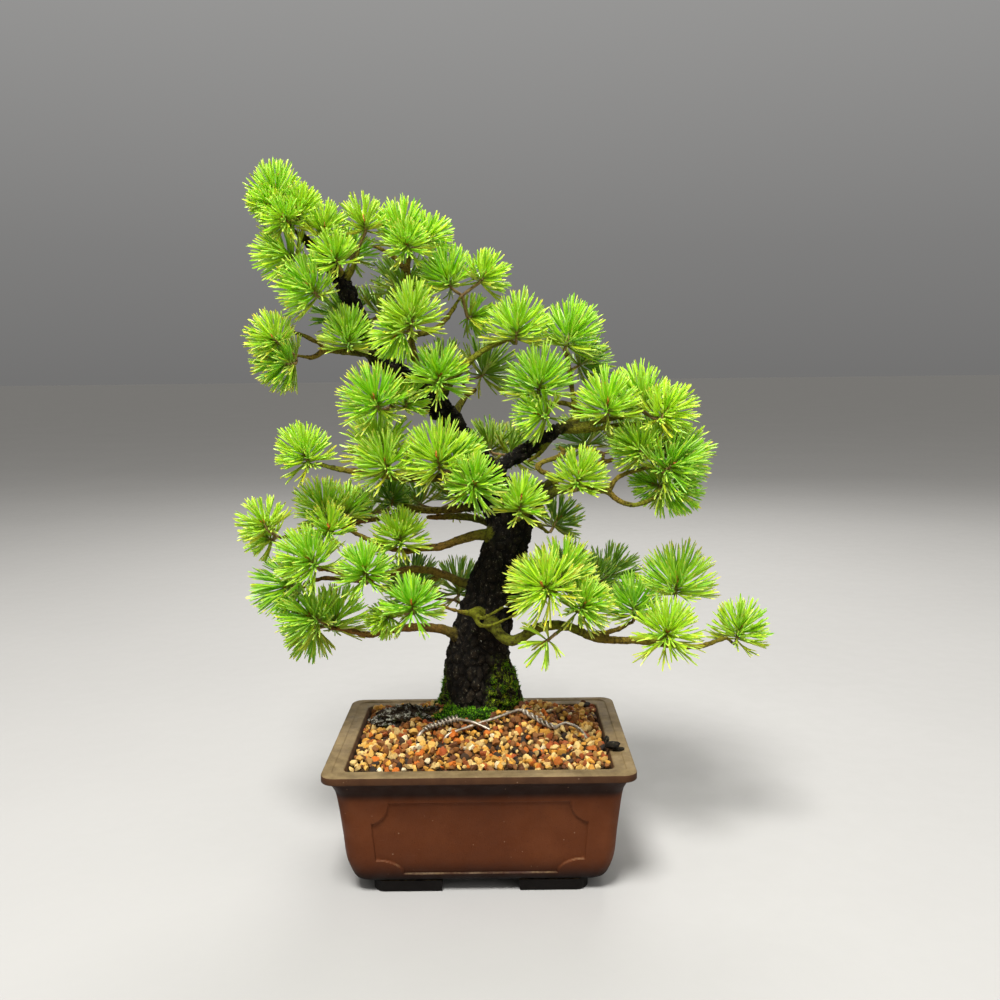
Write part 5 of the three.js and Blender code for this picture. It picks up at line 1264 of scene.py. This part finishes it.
def foot_outline(inset):
    """One L-shaped foot, anticlockwise, for the corner at +X and +Y."""
    half_x, half_y = POT["foot_half_x"] - inset, POT["foot_half_y"] - inset
    gap_x, gap_y = POT["foot_gap_x"] + inset, POT["foot_gap_y"] + inset
    width = POT["foot_width"] - 2 * inset

    def corner(x, y, radius, angles):
        x, y = x - radius, y - radius
        return [(x + radius * math.cos(a), y + radius * math.sin(a)) for a in np.radians(angles)]

    ring = [(half_x - width, gap_y), (half_x, gap_y)]
    ring += corner(half_x, half_y, POT["foot_radius"] - inset, np.linspace(0, 90, 9))
    ring += [(gap_x, half_y), (gap_x, half_y - width)]
    return ring + corner(half_x - width, half_y - width, POT["foot_inner_radius"], np.linspace(90, 0, 5))


def foot_mesh(side_x, side_y):
    rings = []
    for z, inset in FOOT_ROWS:
        ring = [(x * side_x, y * side_y, z) for x, y in foot_outline(inset)]
        rings.append(np.array(ring if side_x * side_y > 0 else ring[::-1]))
    return loft(rings)


def cut_holes(points, faces):
    """The pot with its drain and wire holes cut through the floor."""
    holes = [((side * POT["drain_x"], 0), POT["drain_radius"], 32) for side in (-1, 1)]
    holes += [(place, POT["wire_hole_radius"], 14) for place in WIRE_HOLES]
    cutters = []
    for (x, y), radius, sides in holes:
        ring = [(x + radius * math.cos(a), y + radius * math.sin(a)) for a in circle(sides)]
        cutters.append(loft([np.array([(*place, z) for place in ring]) for z in HOLE_CUT]))
    body = bare_object("pot_body", points, faces)
    tool = bare_object("pot_holes", *joined(cutters))
    cut = body.modifiers.new("holes", "BOOLEAN")
    cut.operation = "DIFFERENCE"
    cut.solver = "EXACT"
    cut.object = tool
    return worked(body, tool)[:2]


def pot_piece(look):
    rings = []
    for half_x, half_y, radius, z in pot_wall():
        ring, edge_x, edge_y = pot_ring(half_x, half_y, radius, z)
        flat_y = np.abs(np.abs(ring[:, 1]) - half_y) < 1e-6
        sunk = sunk_by(ring[:, 0], z, edge_x, FRONT_PANEL)
        ring[:, 1] -= np.where(flat_y, np.sign(ring[:, 1]) * sunk, 0)
        flat_x = np.abs(np.abs(ring[:, 0]) - half_x) < 1e-6
        sunk = sunk_by(ring[:, 1], z, edge_y, SIDE_PANEL)
        ring[:, 0] -= np.where(flat_x & ~flat_y, np.sign(ring[:, 0]) * sunk, 0)
        rings.append(ring)
    rings += [pot_ring(*row)[0] for row in POT_LIP + POT_INSIDE]
    feet = [foot_mesh(side_x, side_y) for side_x in (-1, 1) for side_y in (-1, 1)]
    piece = make_object("clay_pot", *joined([cut_holes(*loft(rings)), *feet]), look)
    ease_edges(piece, POT_CREASE)
    return dress(piece, "clay", "pot")


def ease_edges(piece, degrees):
    """Smooth shading that breaks at edges sharper than the angle given."""
    mesh = piece.data
    limit = math.cos(math.radians(degrees))
    normals = [polygon.normal.copy() for polygon in mesh.polygons]
    beside = {}
    for polygon in mesh.polygons:
        for key in polygon.edge_keys:
            beside.setdefault(key, []).append(polygon.index)
    sharp = mesh.attributes.new("sharp_edge", "BOOLEAN", "EDGE")
    flags = np.zeros(len(mesh.edges), bool)
    for edge in mesh.edges:
        both = beside.get(edge.key, [])
        flags[edge.index] = len(both) == 2 and normals[both[0]].dot(normals[both[1]]) < limit
    sharp.data.foreach_set("value", flags)


# Soil, stones and what lies on them


class Ground:
    """Heights of the CAD soil's top, in millimetres."""

    def __init__(self):
        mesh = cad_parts["soil"].data
        points = [(Vector(vertex.co) - Vector(SHIFT)) / MM for vertex in mesh.vertices]
        self.tree = BVHTree.FromPolygons(points, [tuple(polygon.vertices) for polygon in mesh.polygons])

    def height(self, x, y):
        hit = self.tree.ray_cast(Vector((x, y, 200)), Vector((0, 0, -1)))[0]
        return None if hit is None else hit.z


def stone_shapes(count, rng, roughness=0.08):
    """Worn angular pebbles of 80 faces, one millimetre across."""
    shapes = []
    for _ in range(count):
        ball = bmesh.new()
        bmesh.ops.create_icosphere(ball, subdivisions=2, radius=0.5)
        points = np.array([vertex.co[:] for vertex in ball.verts])
        faces = [tuple(vertex.index for vertex in face.verts) for face in ball.faces]
        ball.free()
        for _ in range(PEBBLE["cuts"]):
            normal = unit(rng.normal(0, 1, 3))
            over = points @ normal - rng.uniform(*PEBBLE["level"])
            points -= np.where(over > 0, over, 0)[:, None] * normal
        points *= 1 + rng.normal(0, roughness * 0.25, (len(points), 1))
        points *= np.array([PEBBLE["length"], rng.uniform(*PEBBLE["depth"]), rng.uniform(*PEBBLE["height"])])
        shapes.append((points, faces))
    return shapes


def turned_any_way(points, rng):
    w, x, y, z = unit(rng.normal(0, 1, 4))
    matrix = np.array([
        [1 - 2 * (y * y + z * z), 2 * (x * y - z * w), 2 * (x * z + y * w)],
        [2 * (x * y + z * w), 1 - 2 * (x * x + z * z), 2 * (y * z - x * w)],
        [2 * (x * z - y * w), 2 * (y * z + x * w), 1 - 2 * (x * x + y * y)],
    ])
    return points @ matrix.T


def within(patch, x, y, share):
    centre, size = patch["centre"], patch["size"]
    return ((x - centre[0]) / size[0]) ** 2 + ((y - centre[1]) / size[1]) ** 2 < share ** 2


def by_trunk(x, y):
    return math.hypot(x - TRUNK_FOOT["x"], (y - TRUNK_FOOT["y"]) / TRUNK_DEPTH_RATIO) < TRUNK_FOOT["reach"]


def clamped(value, limit):
    return max(min(value, limit), -limit)


def stone_places(rng):
    """Places in rows that cover the soil, then loose ones, each with its lift above the soil."""
    half_x, half_y = STONES["half"]
    pitch, jitter = STONES["pitch"], STONES["jitter"]
    row_pitch = pitch * STONES["row_step"]
    places = []
    for row in range(int(2 * half_y / row_pitch) + 1):
        for column in range(int(2 * half_x / pitch) + 1):
            x = -half_x + (column + 0.5 * (row % 2)) * pitch + rng.normal(0, jitter)
            y = -half_y + row * pitch * STONES["row_step"] + rng.normal(0, jitter)
            places.append((x, y, 0.0))
    for _ in range(STONES["loose"]):
        x = rng.uniform(-half_x, half_x)
        places.append((x, rng.uniform(-half_y, half_y), rng.uniform(*STONES["loose_lift"])))
    return places


def stones_piece(look):
    rng = np.random.default_rng(SEEDS["stones"])
    ground = Ground()
    shapes = stone_shapes(STONES["shapes"], rng)
    parts, tones, glows = [], [], []
    for x, y, lift in stone_places(rng):
        small = rng.uniform(*STONES["size"])
        size = small * (1 if rng.random() > STONES["small_share"] else STONES["small_size"])
        x, y = (clamped(value, limit - size / 2) for value, limit in zip((x, y), STONES["inside"]))
        if by_trunk(x, y) or within(MOSS, x, y, 0.9) or within(HUMUS, x, y, 0.85):
            continue
        z = ground.height(*(clamped(value, limit) for value, limit in zip((x, y), STONES["soil"])))
        if z is None:
            continue
        points, faces = shapes[rng.integers(len(shapes))]
        points = turned_any_way(points, rng) * size
        parts.append((points + np.array([x, y, z + size * STONES["sunk"] + lift]), faces))
        tones.append(np.full(len(points), rng.random()))
        glows.append(np.full(len(points), rng.random()))
    levels = {"tone": np.concatenate(tones), "glow": np.concatenate(glows)}
    piece = make_object("soil_stones", *joined(parts), look, True, levels)
    ease_edges(piece, STONE_CREASE)
    return dress(piece, "gravel")


def dome_mesh(patch, rings, sides, seed, rough):
    """A lumpy mound on its patch of ground."""
    centre, size = np.array(patch["centre"], float), np.array(patch["size"], float)
    made = []
    for tilt in math.pi * np.arange(1, rings) / rings:
        ring = []
        for turn in circle(sides):
            way = [math.sin(tilt) * math.cos(turn), math.sin(tilt) * math.sin(turn), -math.cos(tilt)]
            way = np.array(way)
            lump = 1 + rough * noise.noise(Vector(way * 2.4) + Vector((seed, 0, 0)))
            lump += rough * 0.5 * noise.noise(Vector(way * 7) + Vector((seed, 4, 0)))
            ring.append(centre + way * size * min(lump, 1.0 + rough * 0.4))
        made.append(np.array(ring))
    return loft(made)


def blade_mesh(places, ways, lengths, widths, rng):
    """Small pointed three-sided blades."""
    across, up = square_axes(ways)
    count = len(places)
    spin = rng.uniform(*ANY_TURN, count)
    points = np.empty((count, 4, 3))
    for c in range(3):
        points[:, c] = places + around(spin + 2 * math.pi * c / 3, across, up) * widths[:, None]
    points[:, 3] = places + ways * lengths[:, None]
    faces = []
    for a in range(0, 4 * count, 4):
        faces += [(a, a + 1, a + 3), (a + 1, a + 2, a + 3), (a + 2, a, a + 3)]
    return points.reshape(-1, 3), faces, np.tile([0.0, 0.0, 0.0, 1.0], count)


def moss_piece(wood_points, wood_normals, moss, look):
    """Blades on the mound by the trunk, and on the trunk itself where moss grows."""
    rng = np.random.default_rng(SEEDS["moss"])
    points, faces = dome_mesh(MOSS, 26, 60, 1.2, 0.5)
    centre, size = np.array(MOSS["centre"], float), np.array(MOSS["size"], float)
    keep = rng.choice(len(points), MOSS_BLADES["mound"], True)
    spots = points[keep] + rng.normal(0, 0.5, (len(keep), 3))
    ways = ((points - centre) / size)[keep] / size + np.array([0, 0, 0.06])
    ways = unit(ways + rng.normal(0, 0.03, (len(keep), 3)))
    above = ways[:, 2] > -0.2
    chosen = np.flatnonzero((moss > 0.35) & (wood_points[:, 2] > 95))
    chosen = chosen[noise_at(wood_points[chosen], 0.16, 14) > 0.2]
    chosen = rng.choice(chosen, min(len(chosen), MOSS_BLADES["trunk"]), False)
    outwards = wood_normals[chosen] + rng.normal(0, 0.5, (len(chosen), 3)) + np.array([0, 0, 0.4])
    spots = np.vstack([spots[above], wood_points[chosen] - 0.2 * wood_normals[chosen]])
    ways = unit(np.vstack([ways[above], outwards]))
    clumps = 1 + 1.2 * noise_at(spots, 0.16, 51)
    lengths = rng.uniform(1.1, 2.6, len(spots)) * np.clip(clumps, 0.4, 1.9)
    blades, blade_faces, along = blade_mesh(spots, ways, lengths, rng.uniform(0.25, 0.5, len(spots)), rng)
    shape = joined([(points, faces), (blades, blade_faces)])
    along = np.concatenate([np.full(len(points), 0.08), along])
    vary = np.concatenate([np.full(len(points), 0.4), np.repeat(rng.random(len(spots)), 4)])
    piece = make_object("moss_cushion", *shape, look, True, {"along": along, "vary": vary})
    return dress(piece, "moss", "moss_mound")


def humus_piece(look):
    rng = np.random.default_rng(SEEDS["humus"])
    points, faces = dome_mesh(HUMUS, 24, 54, 3.1, 0.62)
    parts = [(points, faces)]
    shapes = stone_shapes(HUMUS_CRUMBS["shapes"], rng, 0.3)
    top = points[points[:, 2] > HUMUS["centre"][2] - 1]
    for spot in top[rng.choice(len(top), HUMUS_CRUMBS["count"], True)]:
        shape, faces = shapes[rng.integers(len(shapes))]
        size = rng.uniform(*HUMUS_CRUMBS["size"])
        crumb = turned_any_way(shape * np.array([1, 0.65, 0.4]), rng) * size
        parts.append((crumb + spot + rng.normal(0, 0.7, 3) * np.array([1, 1, 0.4]), faces))
        # This draw isn't used: it keeps the crumbs that follow where they are
        rng.random()
    return dress(make_object("humus_crumbs", *joined(parts), look), "humus", "humus_patch")


def wire_piece(name, rows, winding, look, node):
    """A wire whose two ends are wound together along its middle."""
    path = np.array(rows, float)
    dense = smooth_path(path, 0.45)
    dense[:, 2] += WIRE_LIFT * smoothstep(96, 99, dense[:, 2])
    ends = (path[row] + np.array([0, 0, WIRE_LIFT]) for row in winding["rows"])
    start, end = (int(np.argmin(np.linalg.norm(dense - place, axis=1))) for place in ends)
    steps = np.arange(len(dense))
    across, up = path_frames(dense)
    ramp = smoothstep(0, 8, np.minimum(steps - start + 5, end + 5 - steps))
    length = np.concatenate([[0], np.cumsum(np.linalg.norm(np.diff(dense, axis=0), axis=1))])
    out = np.interp(steps, [start, end], winding["out"]) * ramp
    offset = around(2 * math.pi * length / winding["turn"], across, up) * out[:, None]
    second = (dense - offset)[max(start - 6, 0):min(end + 7, len(dense))]
    tail = np.linspace(0, 1, len(second))
    widths = WIRE_RADIUS * np.minimum(1, 12 * np.minimum(tail, 1 - tail) + 0.5)
    shape = joined([
        tube(dense + offset * winding["first"], np.full(len(dense), WIRE_RADIUS), 9),
        tube(second, widths * (1 if winding["first"] else 0.85), 9),
    ])
    return dress(make_object(name, *shape, look), "wire", node)


def screen_piece(name, node, look):
    low, high = (np.array(corner[:]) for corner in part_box(node))
    centre = ((low + high) / 2 - SHIFT) / MM
    half, bar, thick = SCREEN["half"], SCREEN["bar"], SCREEN["thickness"] / 2
    count = int(2 * half / SCREEN["pitch"])
    parts = []
    for k in range(count + 1):
        at = -half + bar + (2 * half - 2 * bar) * k / count
        for ends in ([(-half, at), (half, at)], [(at, -half), (at, half)]):
            run = np.array([(x, y, 0.0) for x, y in ends]) + centre
            parts.append(tube(run, np.full(2, thick), 8))
    vertices, faces = joined(parts)
    vertices[:, 2] = np.clip(vertices[:, 2], centre[2] - thick, centre[2] + thick)
    return dress(make_object(name, vertices, faces, look), "screen", node)


def litter_pieces(dry, bark):
    """A dead needle, a stick and a dark chip on the stones."""
    parts = []
    for rows, step, first, last, sides in DRY_LITTER:
        path = smooth_path(rows, step)
        parts.append(tube(path, np.linspace(first, last, len(path)), sides))
    dress(make_object("dry_litter", *joined(parts), dry), "bark")
    rng = np.random.default_rng(SEEDS["chips"])
    parts = []
    for size, place in CHIPS:
        chip, faces = stone_shapes(1, rng, 0.5)[0]
        parts.append((chip * np.array(size) + np.array(place), faces))
    chip, faces = joined(parts)
    levels = {"age": 1, "crack": 0, "moss": 0, "tone": 1}
    levels = {key: np.full(len(chip), level) for key, level in levels.items()}
    dress(make_object("bark_chip", chip, faces, bark, True, levels), "bark")


def fleck_piece(wood_points, look):
    """Small pale drops on the wood, each where its sight line meets it."""
    rng = np.random.default_rng(SEEDS["flecks"])
    parts = []
    for x, z, size in PALE_FLECKS:
        near, far = (seen(x, z, y) for y in FLECK_DEPTHS)
        way = unit(far - near)
        reach = (wood_points - near) @ way
        aside = np.linalg.norm(wood_points - near - reach[:, None] * way, axis=1)
        spot = wood_points[np.argmin(aside + 0.02 * reach)]
        for _ in range(FLECK_CRUMBS):
            shape, faces = stone_shapes(1, rng, 0.3)[0]
            parts.append((shape * size * rng.uniform(0.6, 1.1) + spot + rng.normal(0, 0.35 * size, 3), faces))
    return dress(make_object("pale_flecks", *joined(parts), look), "bark")


# The whole scene


def build_tree(bark):
    sprays = [spray_plan(name, table) for name, table in SPRAYS.items()]
    wood = grow_wood(sprays)
    surface = wood_piece(wood, bark)
    thick = wood.radii > THICK_RADIUS
    looks = [needle_look(), plain_look("shoot"), plain_look("bud")]
    for place, spray in enumerate(sprays):
        spray_piece(spray, looks, (wood.places[thick], wood.radii[thick]), SEEDS["sprays"] + place)
    return surface


def build_ground(wood_points, wood_normals, moss, bark):
    pot_piece(clay_look())
    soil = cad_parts["soil"]
    soil.data.materials.clear()
    soil.data.materials.append(plain_look("under_soil"))
    stones_piece(stone_look())
    moss_piece(wood_points, wood_normals, moss, moss_look())
    humus_piece(humus_look())
    wire = plain_look("wire")
    wire_piece("wire_right", RIGHT_WIRE, RIGHT_WINDING, wire, "anchor_wire_right")
    wire_piece("wire_left", LEFT_WIRE, LEFT_WINDING, wire, "anchor_wire_left")
    plastic = plain_look("screen")
    screen_piece("drain_screen_left", "mesh_screen_left", plastic)
    screen_piece("drain_screen_right", "mesh_screen_right", plastic)
    litter_pieces(plain_look("dry_needle"), bark)
    fleck_piece(wood_points, plain_look("fleck"))


def build_floor():
    half = FLOOR_HALF
    corners = [(-half, -half, 0), (half, -half, 0), (half, half, 0), (-half, half, 0)]
    floor = bare_object("floor", corners, [(0, 1, 2, 3)])
    floor.data.materials.append(plain_look("floor"))


def build_sky():
    world = bpy.data.worlds.new("studio")
    world.use_nodes = True
    nodes, links = world.node_tree.nodes, world.node_tree.links
    split = nodes.new("ShaderNodeSeparateXYZ")
    ramp = nodes.new("ShaderNodeValToRGB")
    links.new(nodes.new("ShaderNodeTexCoord").outputs["Generated"], split.inputs["Vector"])
    links.new(split.outputs["Z"], ramp.inputs["Fac"])
    while len(ramp.color_ramp.elements) < len(SKY):
        ramp.color_ramp.elements.new(0.5)
    for stop, (place, bright) in zip(ramp.color_ramp.elements, SKY):
        stop.position = place
        stop.color = (*(share * bright for share in SKY_TINT), 1)
    links.new(ramp.outputs["Color"], nodes["Background"].inputs["Color"])
    bpy.context.scene.world = world


def build_lights():
    for name, place, size, power in LIGHTS:
        light = bpy.data.lights.new(name, "AREA")
        light.shape = "DISK"
        light.size = size
        light.energy = power
        lamp = linked(name, light)
        lamp.location = Vector(place) + Vector(SHIFT)
        aim = Vector(LIGHTS_AIM) + Vector(SHIFT) - lamp.location
        lamp.rotation_euler = aim.to_track_quat("-Z", "Y").to_euler()


def build_camera():
    right = np.array([1.0, 0.0, 0.0])
    ahead = np.array([0.0, math.cos(PITCH_DOWN), -math.sin(PITCH_DOWN)])
    above = np.cross(right, ahead)
    across = math.cos(ROLL) * right + math.sin(ROLL) * above
    up = -math.sin(ROLL) * right + math.cos(ROLL) * above
    data = bpy.data.cameras.new("photo_view")
    data.sensor_width = SENSOR
    data.sensor_fit = "HORIZONTAL"
    data.lens = FOCAL_PIXELS / IMAGE_PIXELS * SENSOR
    camera = linked("photo_view", data)
    basis = Matrix([across, up, -ahead]).transposed().to_4x4()
    basis.translation = Vector(EYE * MM + SHIFT)
    camera.matrix_world = basis
    bpy.context.scene.camera = camera


bark = bark_look()
build_ground(*build_tree(bark), bark)
build_floor()
build_sky()
build_lights()
build_camera()
view = bpy.context.scene.view_settings
view.view_transform = "Standard"
view.look = "None"
bpy.context.view_layer.update()
